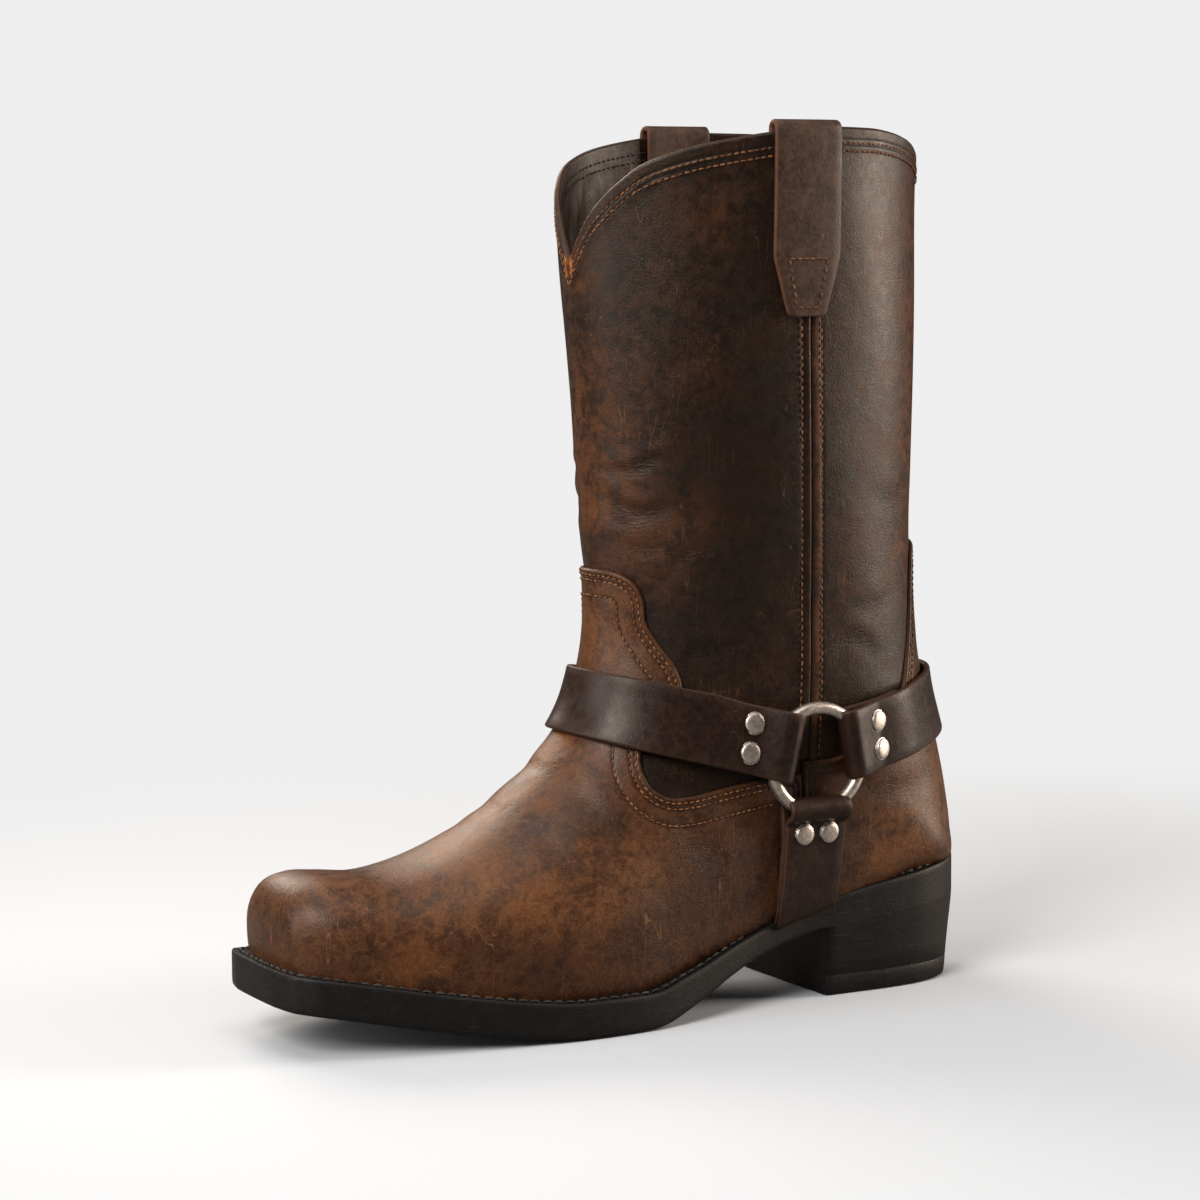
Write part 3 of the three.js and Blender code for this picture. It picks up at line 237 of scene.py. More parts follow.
def formTable():
    rows, halfCount, capRows, capDepth = 1000, 512, 12, 12.0
    place = np.linspace(0, topPlace, rows)
    section = {key: curve(place) for key, curve in stationCurves.items()}
    height = np.hypot(section["frontY"] - section["backY"], section["frontZ"] - section["backZ"])
    around = np.linspace(0, 0.5, halfCount + 1)
    outerX, outerS = halfSections(section, section["outer"] - section["ridge"], height, around)
    innerX, innerS = halfSections(section, section["inner"] + section["ridge"], height, around)
    ridge = section["ridge"][:, None]
    x = np.hstack([ridge + outerX, (ridge - innerX)[:, -2::-1]])
    s = np.hstack([outerS, innerS[:, -2::-1]])
    y = section["backY"][:, None] + (section["frontY"] - section["backY"])[:, None] * s
    z = section["backZ"][:, None] + (section["frontZ"] - section["backZ"])[:, None] * s
    turn = np.linspace(0, 1, 2 * halfCount + 1)
    follow = np.maximum((place / topPlace - dipStart) / (1 - dipStart), 0) ** 1.5
    z = z - collarCurve(np.minimum(turn, 1 - turn))[None, :] * follow[:, None]
    body = np.stack([x, y, z], 2)
    centre = body[0, :-1].mean(0)
    share = np.linspace(0, 1, capRows, endpoint=False)[:, None, None]
    cap = centre + (body[0] - centre) * share
    cap[:, :, 1] = body[0, :, 1].min() - 0.6 * (1 - share[:, :, 0] ** 2) + (body[0, :, 1] - body[0, :, 1].min()) * share[:, :, 0]
    points = np.concatenate([cap, body])
    rowAt = np.concatenate([np.linspace(-capDepth, 0, capRows, endpoint=False), place])
    upStep = np.gradient(points, rowAt, axis=0)
    wrapped = np.concatenate([points[:, -2:-1], points, points[:, 1:2]], 1)
    roundStep = wrapped[:, 2:] - wrapped[:, :-2]
    normal = np.cross(roundStep, upStep)
    length = np.linalg.norm(normal, axis=2, keepdims=True)
    normal = np.where(length > 1e-9, normal / np.maximum(length, 1e-9), np.array([0, -1, 0]))
    return rowAt, turn, points, normal


rowAt, turnAt, formPoints, formNormals = formTable()
firstPlace = rowAt[0]


def lookUp(grid, u, v):
    u, v = np.mod(np.asarray(u, float), 1), np.clip(np.asarray(v, float), rowAt[0], rowAt[-1])
    column = u * (len(turnAt) - 1)
    row = np.interp(v, rowAt, np.arange(len(rowAt)))
    c = np.minimum(column.astype(int), len(turnAt) - 2)
    r = np.minimum(row.astype(int), len(rowAt) - 2)
    fc, fr = (column - c)[..., None], (row - r)[..., None]
    low = grid[r, c] * (1 - fc) + grid[r, c + 1] * fc
    high = grid[r + 1, c] * (1 - fc) + grid[r + 1, c + 1] * fc
    return low * (1 - fr) + high * fr


def wayOut(u, v):
    n = lookUp(formNormals, u, v)
    return n / np.maximum(np.linalg.norm(n, axis=-1, keepdims=True), 1e-9)


def onForm(u, v, out=0.0):  # u turns from the ridge towards the outer side, v up from the toe
    out = np.asarray(out, float)
    return lookUp(formPoints, u, v) + wayOut(u, v) * (out[..., None] if out.ndim else out)


def fromSide(y, z, side):  # where a point of the side view lies on the form
    y, z = np.atleast_1d(np.asarray(y, float)), np.atleast_1d(np.asarray(z, float))
    columns = np.linspace(0.004, 0.496, 80) if side > 0 else np.linspace(0.996, 0.504, 80)
    rows = rowAt[::8]
    gridU, gridV = np.meshgrid(columns, rows)
    samples = onForm(gridU, gridV)
    u, v = np.empty(len(y)), np.empty(len(y))
    for i in range(len(y)):
        k = np.argmin((samples[..., 1] - y[i]) ** 2 + (samples[..., 2] - z[i]) ** 2)
        u[i], v[i] = gridU.flat[k], gridV.flat[k]
    turnLength = 300.0  # makes a turn count like millimetres
    low, high = (0.0, 0.5) if side > 0 else (0.5, 1.0)
    for _ in range(14):
        e = 0.8
        p = onForm(u, v)
        pu = (onForm(u + e / turnLength, v) - onForm(u - e / turnLength, v)) / (2 * e)
        pv = (onForm(u, v + e) - onForm(u, v - e)) / (2 * e)
        ry, rz = y - p[:, 1], z - p[:, 2]
        a, b, c, d = pu[:, 1], pv[:, 1], pu[:, 2], pv[:, 2]
        m11, m12, m22 = a * a + c * c + 0.004, a * b + c * d, b * b + d * d + 0.004
        g1, g2 = a * ry + c * rz, b * ry + d * rz
        det = m11 * m22 - m12 * m12
        u = np.clip(u + np.clip((m22 * g1 - m12 * g2) / det, -6, 6) / turnLength, low, high - 1e-9)
        v = np.clip(v + np.clip((m11 * g2 - m12 * g1) / det, -6, 6), 0, topPlace)
    return u, v


def slide(u, v, way, distance):  # a step along the surface, in the direction way
    steps = 4
    turnLength = 300.0
    for _ in range(steps):
        e = 0.8
        pu = (onForm(u + e / turnLength, v) - onForm(u - e / turnLength, v)) / (2 * e)
        pv = (onForm(u, v + e) - onForm(u, v - e)) / (2 * e)
        move = way * distance / steps
        a, b, d = (pu * pu).sum(-1), (pu * pv).sum(-1), (pv * pv).sum(-1)
        g1, g2 = (pu * move).sum(-1), (pv * move).sum(-1)
        det = np.maximum(a * d - b * b, 1e-9)
        u = u + (d * g1 - b * g2) / det / turnLength
        v = v + (a * g2 - b * g1) / det
    return u, v


def evenly(points, spacing):  # shares of a line's length, evenly spaced
    run = np.concatenate([[0], np.cumsum(np.linalg.norm(np.diff(points, axis=0), axis=1))])
    count = max(int(round(run[-1] / spacing)), 1)
    return run, np.linspace(0, run[-1], count + 1)


def sideLine(pairs, side, spacing=0.8):  # a smooth line drawn in the side view, as (u, v) on the form
    pairs = np.asarray(pairs, float)
    run, even = evenly(pairs, spacing)
    y, z = fairCurve(run, pairs[:, 0])(even), fairCurve(run, pairs[:, 1])(even)
    return fromSide(y, z, side)

# making pieces
def deselectAll():
    if bpy.context.object and bpy.context.object.mode != "OBJECT":
        bpy.ops.object.mode_set(mode="OBJECT")
    bpy.ops.object.select_all(action="DESELECT")


def takeUp(piece):
    deselectAll()
    piece.select_set(True)
    bpy.context.view_layer.objects.active = piece


def giveValues(piece, name, values):  # a value for each vertex, for the materials to read
    layer = piece.data.attributes.new(name, "FLOAT", "POINT")
    layer.data.foreach_set("value", np.asarray(values, np.float32).ravel())


def gridPiece(name, points, values=None, caps=False):
    rows, columns = points.shape[:2]
    deselectAll()
    bpy.ops.mesh.primitive_grid_add(x_subdivisions=columns - 1, y_subdivisions=rows - 1, size=1)
    piece = bpy.context.object
    piece.name = piece.data.name = name
    while piece.data.uv_layers:
        piece.data.uv_layers.remove(piece.data.uv_layers[0])
    piece.data.vertices.foreach_set("co", (points.reshape(-1, 3) * mm).astype(np.float32).ravel())
    for key, value in (values or {}).items():
        giveValues(piece, key, value)
    bpy.ops.object.mode_set(mode="EDIT")
    bpy.ops.mesh.select_all(action="SELECT")
    bpy.ops.mesh.remove_doubles(threshold=2e-6)
    if caps:
        bpy.ops.mesh.select_all(action="DESELECT")
        bpy.ops.mesh.select_non_manifold(extend=False)
        bpy.ops.mesh.fill_holes(sides=0)
    bpy.ops.mesh.select_all(action="SELECT")
    bpy.ops.mesh.normals_make_consistent(inside=False)
    bpy.ops.object.mode_set(mode="OBJECT")
    bpy.ops.object.shade_smooth()
    return piece


def meshPiece(name, points, faces, materialIndex=None, values=None):
    mesh = bpy.data.meshes.new(name)
    mesh.from_pydata((points * mm).tolist(), [], faces)
    piece = bpy.data.objects.new(name, mesh)
    bpy.context.scene.collection.objects.link(piece)
    if materialIndex is not None:
        mesh.polygons.foreach_set("material_index", materialIndex)
    for key, value in (values or {}).items():
        giveValues(piece, key, value)
    takeUp(piece)
    bpy.ops.object.mode_set(mode="EDIT")
    bpy.ops.mesh.select_all(action="SELECT")
    bpy.ops.mesh.remove_doubles(threshold=2e-6)
    bpy.ops.object.mode_set(mode="OBJECT")
    bpy.ops.object.shade_smooth()
    return piece


def dress(piece, materials, node=()):
    piece.data.materials.clear()
    for material in materials if isinstance(materials, (list, tuple)) else [materials]:
        piece.data.materials.append(material)
    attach(piece, "root")
    nodes = [node] if isinstance(node, str) else list(node)
    if nodes:
        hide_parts(*nodes)
    return piece


# A pattern piece is cut flat in (u, v), split along lines of equal distance, then laid on the form.
turnLength = 300.0


def flatPattern(columns, rows):
    deselectAll()
    bpy.ops.mesh.primitive_grid_add(x_subdivisions=len(columns) - 1, y_subdivisions=len(rows) - 1, size=1)
    piece = bpy.context.object
    u, v = np.meshgrid(columns, rows)
    flat = np.stack([u * turnLength, v, np.zeros_like(u)], 2).reshape(-1, 3)
    piece.data.vertices.foreach_set("co", flat.astype(np.float32).ravel())
    sheet = bmesh.new()
    sheet.from_mesh(piece.data)
    bpy.data.objects.remove(piece, do_unlink=True)
    sheet.verts.ensure_lookup_table()
    return sheet


def placesOf(sheet):
    flat = np.array([vert.co[:2] for vert in sheet.verts])
    return flat[:, 0] / turnLength, flat[:, 1]


def setField(sheet, name, values):
    layer = sheet.verts.layers.float.get(name) or sheet.verts.layers.float.new(name)
    for vert, value in zip(sheet.verts, values):
        vert[layer] = value


def splitAt(sheet, name, level):
    layer = sheet.verts.layers.float[name]
    others = [sheet.verts.layers.float[key] for key in sheet.verts.layers.float.keys()]
    on = set()
    for edge in list(sheet.edges):
        a, b = edge.verts
        da, db = a[layer] - level, b[layer] - level
        if da == 0:
            on.add(a)
        if db == 0:
            on.add(b)
        if da * db >= 0:
            continue
        share = da / (da - db)
        if share < 0.04:
            a[layer] = level
            on.add(a)
            continue
        if share > 0.96:
            b[layer] = level
            on.add(b)
            continue
        values = [a[other] + (b[other] - a[other]) * share for other in others]
        made = bmesh.utils.edge_split(edge, a, share)[1]
        for other, value in zip(others, values):
            made[other] = value
        made[layer] = level
        on.add(made)
    for face in {face for vert in on for face in vert.link_faces}:
        marked = [loop.vert for loop in face.loops if loop.vert in on]
        if len(marked) != 2 or face.loops[0].vert is None:
            continue
        below = any(vert[layer] < level - 1e-7 for vert in face.verts)
        above = any(vert[layer] > level + 1e-7 for vert in face.verts)
        together = any(marked[0] in edge.verts and marked[1] in edge.verts for edge in face.edges)
        if below and above and not together:
            bmesh.utils.face_split(face, marked[0], marked[1])


def dropBelow(sheet, name, level=0.0):
    layer = sheet.verts.layers.float[name]
    out = [face for face in sheet.faces if sum(vert[layer] for vert in face.verts) / len(face.verts) < level]
    bmesh.ops.delete(sheet, geom=out, context="FACES")
    loose = [vert for vert in sheet.verts if not vert.link_faces]
    bmesh.ops.delete(sheet, geom=loose, context="VERTS")


def distanceTo(line, points):  # to the nearest stretch of a line through dense points
    tree = KDTree(len(line))
    for i, p in enumerate(line):
        tree.insert(p, i)
    tree.balance()
    nearest = np.array([tree.find(p)[1] for p in points])
    best = np.full(len(points), 1e9)
    for first in (nearest - 1, nearest):
        a, b = line[np.clip(first, 0, len(line) - 1)], line[np.clip(first + 1, 0, len(line) - 1)]
        span = b - a
        share = ((points - a) * span).sum(1) / np.maximum((span * span).sum(1), 1e-9)
        best = np.minimum(best, np.linalg.norm(points - a - span * np.clip(share, 0, 1)[:, None], axis=1))
    return best, nearest


def insideOutline(outline, y, z):
    inside = np.zeros(len(y), bool)
    for (ay, az), (by, bz) in zip(outline, np.roll(outline, -1, axis=0)):
        crosses = (az > z) != (bz > z)
        at = ay + (by - ay) * (z - az) / (bz - az if bz != az else 1)
        inside ^= crosses & (y < at)
    return inside


def shellOf(sheet, outer, inner, rims, openEdge):
    # outer and inner give points from (u, v); rims are the rounded rows between them, from outside in
    sheet.verts.index_update()
    u, v = placesOf(sheet)
    count = len(u)
    layers = [outer(u, v)] + [rim(u, v) for rim in rims] + [inner(u, v)]
    faces = [[vert.index for vert in face.verts] for face in sheet.faces]
    kinds = [0] * len(faces)
    last = (len(layers) - 1) * count
    faces += [[last + i for i in reversed(face)] for face in faces[: len(kinds)]]
    kinds += [1] * (len(faces) - len(kinds))
    used = set()
    for edge in sheet.edges:
        if len(edge.link_faces) != 1 or openEdge(edge):
            continue
        loop = edge.link_loops[0]
        a, b = loop.vert.index, loop.link_loop_next.vert.index
        used.update((a, b))
        for k in range(len(layers) - 1):
            faces.append([a + k * count, a + (k + 1) * count, b + (k + 1) * count, b + k * count])
            kinds.append(2)
    keep = np.zeros(len(layers) * count, bool)
    keep[:count] = keep[last:] = True
    for k in range(1, len(layers) - 1):
        keep[[i + k * count for i in used]] = True
    number = np.cumsum(keep) - 1
    points = np.concatenate(layers)[keep]
    faces = [[int(number[i]) for i in face] for face in faces]
    source = np.tile(np.arange(count), len(layers))[keep]
    layerOf = np.repeat(np.arange(len(layers)), count)[keep]
    return points, faces, kinds, source, layerOf

# creases and colour patches
creaseLook = {
    "shaft": [  # side view points, half width, depth; each is a trough with a soft ridge beside it
        ([(-127, 216), (-124.7, 215.3), (-120.8, 214.8), (-114.5, 218.5), (-109.1, 221.7)], 2.6, 0.7),
        ([(-125.9, 205.8), (-121.7, 200.9), (-115.5, 198), (-111, 198.8), (-105.5, 201.3)], 3.2, 1.3),
        ([(-125.3, 199.2), (-120.7, 194.6), (-115.3, 192.8)], 2.4, 0.6),
        ([(-95, 201), (-86, 199.8), (-75.7, 198.8), (-61.1, 196.3)], 2.0, 0.4),
        ([(-105.6, 172.3), (-101.9, 180.3), (-96.1, 184.2), (-86, 187)], 3.4, 0.6),
        ([(-98.9, 137.5), (-92.6, 142.2), (-82.6, 144.7), (-72, 144)], 3.0, 0.8),
        ([(-36.9, 137.6), (-28.4, 145.1), (-11.6, 137.5)], 3.5, 0.45),
        ([(-30, 162), (-18, 158), (-4, 160)], 4.0, 0.35),
        ([(-124, 188), (-114, 184), (-104, 186)], 3.5, 0.5),
        ([(-20, 205), (-6, 200), (8, 203)], 4.5, 0.35),
    ],
    "foot": [
        ([(-150, 104), (-146, 92), (-140, 80), (-136, 66)], 5.0, 0.7),
        ([(-168, 88), (-163, 76), (-158, 64), (-156, 50)], 5.5, 0.6),
        ([(-178, 80), (-173, 68), (-168, 56)], 4.0, 0.35),
        ([(-110, 84), (-104, 74), (-96, 66), (-92, 54)], 6.0, 0.5),
    ],
    "heel": [
        ([(-30, 92), (-18, 84), (0, 82), (18, 86)], 4.5, 0.35),
        ([(-36, 72), (-22, 66), (-4, 66)], 5.0, 0.25),
    ],
}


def creaseRelief(names, points, u, v):
    relief = np.zeros(len(points))
    depthMask = np.zeros(len(points))
    for name in names:
        for pairs, width, depth in creaseLook[name]:
            for side in (1, -1):
                lineU, lineV = sideLine(pairs, side, 1.0)
                line = onForm(lineU, lineV)
                reach = width * 4
                low, high = line.min(0) - reach, line.max(0) + reach
                near = np.where(((points > low) & (points < high)).all(1))[0]
                if not len(near):
                    continue
                distance, nearest = distanceTo(line, points[near])
                share = nearest / max(len(line) - 1, 1)
                ends = np.clip(np.sin(np.pi * np.clip(share, 0.02, 0.98)), 0, 1) ** 0.6
                beyond = np.exp(-((distance / (width * 2.4)) ** 2))
                above = np.sign(points[near, 2] - line[nearest, 2])
                trough = -np.exp(-((distance / width) ** 2))
                ridge = 0.55 * np.exp(-(((distance * above - width * 1.7) / (width * 1.1)) ** 2))
                relief[near] += depth * ends * beyond**0.2 * (trough + ridge)
                marked = ends * min(depth, 1.0) * np.exp(-((distance / (width * 1.7)) ** 2))
                depthMask[near] = np.maximum(depthMask[near], marked)
    return relief, depthMask


tintLook = {  # place (x share, y, z), reach in mm, strength: golden wear, with a painted sheen on the back panel and a painted highlight on the counter; darker patches, with painted shade inside the rings
    # the broad entries on the back panel, behind the side seam, are mostly a painted sheen; the others are golden wear
    "golden": [
        ((0, -128, 235), 26, 0.8), ((8, -125, 203), 20, 1.0), ((3, -133, 292), 10, 1.0),
        ((30, -99, 196), 14, 0.55), ((24, -111, 178), 16, 0.45), ((30, 6, 180), 20, 0.65),
        ((20, 16, 215), 26, 0.4), ((46, -96, 312), 14, 0.35), ((44, -18, 290), 22, 0.3),
        ((40, -20, 165), 16, 0.3), ((38, -98, 250), 10, 0.25), ((-30, -100, 200), 26, 0.6),
        ((-44, -40, 260), 26, 0.5), ((-40, -70, 165), 22, 0.5), ((34, 2, 312), 34, 0.45),
        ((32, 6, 262), 34, 0.6), ((28, 8, 222), 26, 0.55), ((34, -14, 190), 20, 0.4), ((-32, 4, 250), 40, 0.4),
        ((30, 12, 200), 24, 0.5),
    ],
    "worn": [
        ((40, -110, 290), 12, 0.7), ((46, -100, 262), 12, 0.6), ((20, -122, 262), 12, 0.8), ((44, -66, 285), 10, 0.7),
        ((40, -70, 130), 14, 0.5), ((26, 8, 160), 16, 0.5), ((30, -112, 190), 12, 0.6), ((-42, -70, 230), 30, 0.5),
    ],
    "footWorn": [
        ((44, -85, 64), 15, 1.0), ((46, -66, 50), 12, 0.7), ((20, -240, 55), 14, 0.5), ((40, -150, 80), 14, 0.7),
        ((45, -120, 66), 14, 0.7), ((34, 10, 70), 14, 0.6), ((-40, -90, 60), 26, 0.7), ((38, -205, 48), 10, 0.4),
    ],
    "dark": [
        ((42, -84, 216), 24, 1.0), ((44, -70, 240), 26, 0.8), ((38, -80, 170), 22, 0.9),
        ((34, -100, 92), 22, 1.0), ((47, -78, 290), 30, 0.7), ((43, -62, 196), 22, 0.8),
        ((28, -108, 206), 9, 0.8), ((30, -104, 150), 16, 0.7), ((40, -40, 125), 16, 0.5),
        ((-42, -84, 230), 30, 0.9), ((-38, -30, 180), 28, 0.8), ((-34, -100, 150), 22, 0.8),
    ],
    "footGolden": [
        ((0, -150, 106), 20, 1.0), ((0, -180, 86), 20, 0.8), ((6, -205, 74), 16, 0.6),
        ((18, -240, 60), 18, 0.35), ((38, -190, 55), 20, 0.6), ((44, -158, 56), 18, 0.75),
        ((45, -135, 62), 16, 0.55), ((10, -128, 150), 16, 0.6), ((40, -215, 38), 18, 0.4),
        # the four entries on this line lie on the counter and are a painted highlight; the rest is golden wear
        ((36, 0, 76), 16, 0.85), ((38, -14, 60), 20, 0.65), ((30, 20, 62), 20, 0.6), ((32, 14, 88), 18, 0.7),
        ((-38, -170, 60), 26, 0.7), ((-36, 0, 70), 22, 0.6), ((0, 34, 80), 18, 0.5),
    ],
    "footDark": [
        ((47, -130, 32), 16, 0.5), ((44, -100, 46), 22, 0.5), ((46, -172, 30), 14, 0.6),
        ((40, -205, 42), 9, 0.6), ((41, -191, 44), 8, 0.65), ((42, -80, 60), 20, 0.7),
        ((42, -128, 82), 9, 0.5), ((36, -145, 84), 9, 0.45), ((17, -262, 40), 12, 0.3),
        ((40, -40, 48), 16, 0.6), ((-40, -110, 50), 26, 0.8), ((-38, -60, 60), 24, 0.7),
        # the entries at (41, -49, 90) and (-41, -49, 90) sit inside the rings: painted shade
        ((41, -49, 90), 15, 1.0), ((41, -49, 90), 15, 1.0), ((-41, -49, 90), 15, 1.0), ((15, 20, 168), 16, 0.9),
        ((-15, 20, 168), 16, 0.9), ((25, 10, 145), 14, 0.7),
    ],
}


def tintOf(name, points):
    value = np.zeros(len(points))
    for centre, reach, strength in tintLook[name]:
        distance = np.linalg.norm(points - np.array(centre, float), axis=1)
        value = 1 - (1 - value) * (1 - strength * np.exp(-((distance / reach) ** 2)))
    return value


# lines that the seams follow
vampEdge = [
    (-50.9, 92.6), (-62.1, 92.6), (-76.2, 91.1), (-90.1, 89.1), (-102.4, 87.3), (-111.3, 87.6),
    (-116.9, 91.1), (-119.2, 97), (-118.5, 104.9), (-113.6, 112.9), (-103.9, 121.3), (-100.4, 128.7),
    (-101.5, 136.1), (-106.9, 146), (-111.3, 154.9), (-112.5, 165), (-115.8, 171.5), (-121, 175.2),
    (-125.9, 175.8),
]
counterEdge = [
    (-50.2, 97.5), (-34.1, 98), (-16.1, 104), (-2.7, 115.8), (5.6, 136.6), (8.5, 153.5), (10.3, 168.3),
    (13.4, 178.2), (17.5, 181.2), (24, 181.6),
]
seamLine = [(-54.6, 300), (-53.5, 269.6), (-51.4, 222.5), (-47.9, 162.5), (-46.4, 126), (-46.6, 98)]


def bothSides(pairs):  # a line that starts at the outer side, crosses ridge or back, and ends at the inner side
    outer, inner = sideLine(pairs, 1, 0.6), sideLine(pairs, -1, 0.6)
    u = np.concatenate([outer[0], inner[0][::-1]])
    v = np.concatenate([outer[1], inner[1][::-1]])
    return u, v


def smoothPairs(pairs, spacing=0.8):
    pairs = np.asarray(pairs, float)
    run, even = evenly(pairs, spacing)
    return np.stack([fairCurve(run, pairs[:, 0])(even), fairCurve(run, pairs[:, 1])(even)], 1)


vampU, vampV = bothSides(vampEdge)
counterU, counterV = bothSides(counterEdge)


seamUV = {side: sideLine(seamLine, side, 1.0) for side in (1, -1)}
collarU = np.linspace(-0.5, 0.5, 900)
collar3 = onForm(collarU, np.full(900, topPlace))
print("form and seam lines drawn")


def seatField(u, v, out):
    p = onForm(u, v, out)
    return p[:, 2] - seatHeight(p[:, 1]) - 0.15


def rounded(distance, radius):  # how far a rounded edge has fallen at a distance from it
    near = np.clip(radius - distance, 0, radius)
    return radius - np.sqrt(np.maximum(radius**2 - near**2, 0))


# the upper: shaft, quarters, lining
upperLook = {
    "thickness": boot["wallThickness"], "rimRadius": 0.9, "grooveDepth": 1.1, "grooveWidth": 0.42,
    "ridgeHeight": 0.6, "ridgeAt": 1.5, "stripAt": 2.6, "stitchFromGroove": 4.6, "collarRows": (4.6, 7.2),
    "bandRise": 0.35,
}


def seamDistance(u, v, points):
    distance = np.full(len(u), 60.0)
    for side in (1, -1):
        lineU, lineV = seamUV[side]
        line = onForm(lineU, lineV)
        near = np.where(np.linalg.norm(points[:, :2] - line.mean(0)[:2], axis=1) < 45)[0]
        if not len(near):
            continue
        away, nearest = distanceTo(line, points[near])
        wrapped = (u[near] - lineU[nearest] + 0.5) % 1 - 0.5
        distance[near] = away * np.sign(wrapped) * side
    return distance


def seamRelief(distance, points):
    look = upperLook
    d = np.abs(distance)
    groove = -look["grooveDepth"] * np.exp(-((d / look["grooveWidth"]) ** 2))
    ridge = look["ridgeHeight"] * np.exp(-(((distance + look["ridgeAt"]) / 1.1) ** 2))
    ridge += 0.2 * np.exp(-(((distance - look["stripAt"]) / 1.5) ** 2))
    channel = -0.28 * np.exp(-(((d - look["stitchFromGroove"]) / 0.5) ** 2))
    return (groove + ridge + channel) * np.clip((300 - points[:, 2]) / 6, 0, 1)


def buildUpper():
    seamC = 0.25
    offsets = np.array([0.35, 0.7, 1.2, 1.9, 2.6, 3.4, 3.95, 4.4, 4.85, 5.6, 6.8]) / 370
    plain = np.concatenate([np.linspace(0.0, 0.03, 9), np.linspace(0.03, 0.228, 34)[1:]])
    quarter = np.concatenate([plain, seamC - offsets[::-1], [seamC], seamC + offsets, np.linspace(0.272, 0.5, 34)])
    columns = np.unique(np.round(np.concatenate([-quarter, quarter]), 6))
    shaftFrom = fromSide(-100, 80, 1)[1][0]
    rows = np.concatenate([
        rowAt[:12:3], np.linspace(0, shaftFrom, 66), np.linspace(shaftFrom, topPlace - 12, 118)[1:],
        topPlace - np.array([10.5, 9.2, 8, 6.8, 5.6, 4.4, 3.2, 2.1, 1.3, 0.75, 0.35, 0.12, 0]),
    ])
    sheet = flatPattern(columns, rows)
    u, v = placesOf(sheet)
    side = np.sign(u + 1e-12)
    seamAtV = {}
    for key in (1, -1):
        lineU, lineV = seamUV[key]
        order = np.argsort(lineV)
        at = (lineU[order] + 0.5) % 1 - 0.5
        seamAtV[key] = np.interp(v, lineV[order], np.abs(at))
    seamPlace = np.where(side > 0, seamAtV[1], seamAtV[-1])
    hat = np.where(np.abs(u) < seamC, np.abs(u) / seamC, (0.5 - np.abs(u)) / (0.5 - seamC))
    fade = np.clip((v - shaftFrom + 40) / 60, 0, 1)
    u = u + side * (seamPlace - seamC) * hat * fade
    for vert, place in zip(sheet.verts, u):
        vert.co[0] = place * turnLength
    u, v = placesOf(sheet)
    setField(sheet, "seat", seatField(u, v, 0.0))
    rim = distanceTo(collar3, onForm(u, v))[0]
    rim[v < topPlace - 60] = 60
    setField(sheet, "rim", rim)
    for level in (3.9, 4.6, 5.3, 6.5, 7.2, 7.9):
        splitAt(sheet, "rim", level)
    splitAt(sheet, "seat", 0.0)
    dropBelow(sheet, "seat")
    u, v = placesOf(sheet)
    base = onForm(u, v)
    rimLayer = sheet.verts.layers.float["rim"]
    rim = np.array([vert[rimLayer] for vert in sheet.verts])
    seam = seamDistance(u, v, base)
    creases, creaseMask = creaseRelief(["shaft"], base, u, v)
    look = upperLook
    wave = 0.35 * np.sin(base[:, 2] / 21 + np.sin(u * 19) * 1.7) * np.clip((base[:, 2] - 110) / 60, 0, 1)
    relief = seamRelief(seam, base) + creases + wave * np.clip(rim / 30, 0, 1)
    for row in look["collarRows"]:
        relief -= 0.3 * np.exp(-(((rim - row) / 0.5) ** 2))
    relief += look["bandRise"] * np.clip((8.9 - rim) / 1.2, 0, 1) - rounded(rim, look["rimRadius"])
    pleats = np.sin(u * 430 + np.sin(v / 9) * 1.4) * 0.6 + np.sin(u * 171 + v / 6) * 0.3 + np.sin(v / 3.1) * 0.12
    lining = -look["thickness"] + pleats * np.clip((rim - 8) / 5, 0, 1) * 0.75 + rounded(rim, 0.6)
    edgeOut = -look["rimRadius"]

    def outer(u, v):
        return onForm(u, v, relief)

    def inner(u, v):
        return onForm(u, v, lining)

    def rimRow(out, up):
        def row(u, v):
            points = onForm(u, v, np.full(len(u), out))
            points[:, 2] += np.where(v > topPlace - 1e-3, up, 0)
            return points
        return row

    rims = [rimRow(-look["rimRadius"] * 1.15, 0.35), rimRow(-1.5, 0.42), rimRow(-1.95, 0.2)]

    def openEdge(edge):
        a, b = edge.verts
        atBack = abs(abs(a.co[0]) - turnLength / 2) < 1e-3 and abs(abs(b.co[0]) - turnLength / 2) < 1e-3
        return atBack or (a.co[1] < firstPlace + 1e-3 and b.co[1] < firstPlace + 1e-3)

    points, faces, kinds, source, layerOf = shellOf(sheet, outer, inner, rims, openEdge)
    # the orange-brown strip beside the seam, plus a painted highlight along the ridge of the front panel's edge
    stripAndRidgeHighlight = 0.95 * np.exp(-(((seam - look["stripAt"]) / 1.5) ** 2)) + 0.5 * np.exp(-(((seam + 1.4) / 0.7) ** 2))
    stripAndRidgeHighlight *= np.clip((304 - base[:, 2]) / 8, 0, 1)
    values = {
        "golden": np.maximum(tintOf("golden", base), stripAndRidgeHighlight)[source],
        # dark patches, and painted shade in the seam groove
        "dark": np.maximum(tintOf("dark", base) * (1 - stripAndRidgeHighlight), np.exp(-((seam / 0.6) ** 2)))[source],
        "worn": tintOf("worn", base)[source],
        "crease": creaseMask[source], "stitchShade": threadNearness(rim, seam)[source],
        "cutEdge": ((layerOf > 0) & (layerOf < 4)).astype(float),
    }
    sheet.free()
    return meshPiece("upper_leather", points, faces, kinds, values)


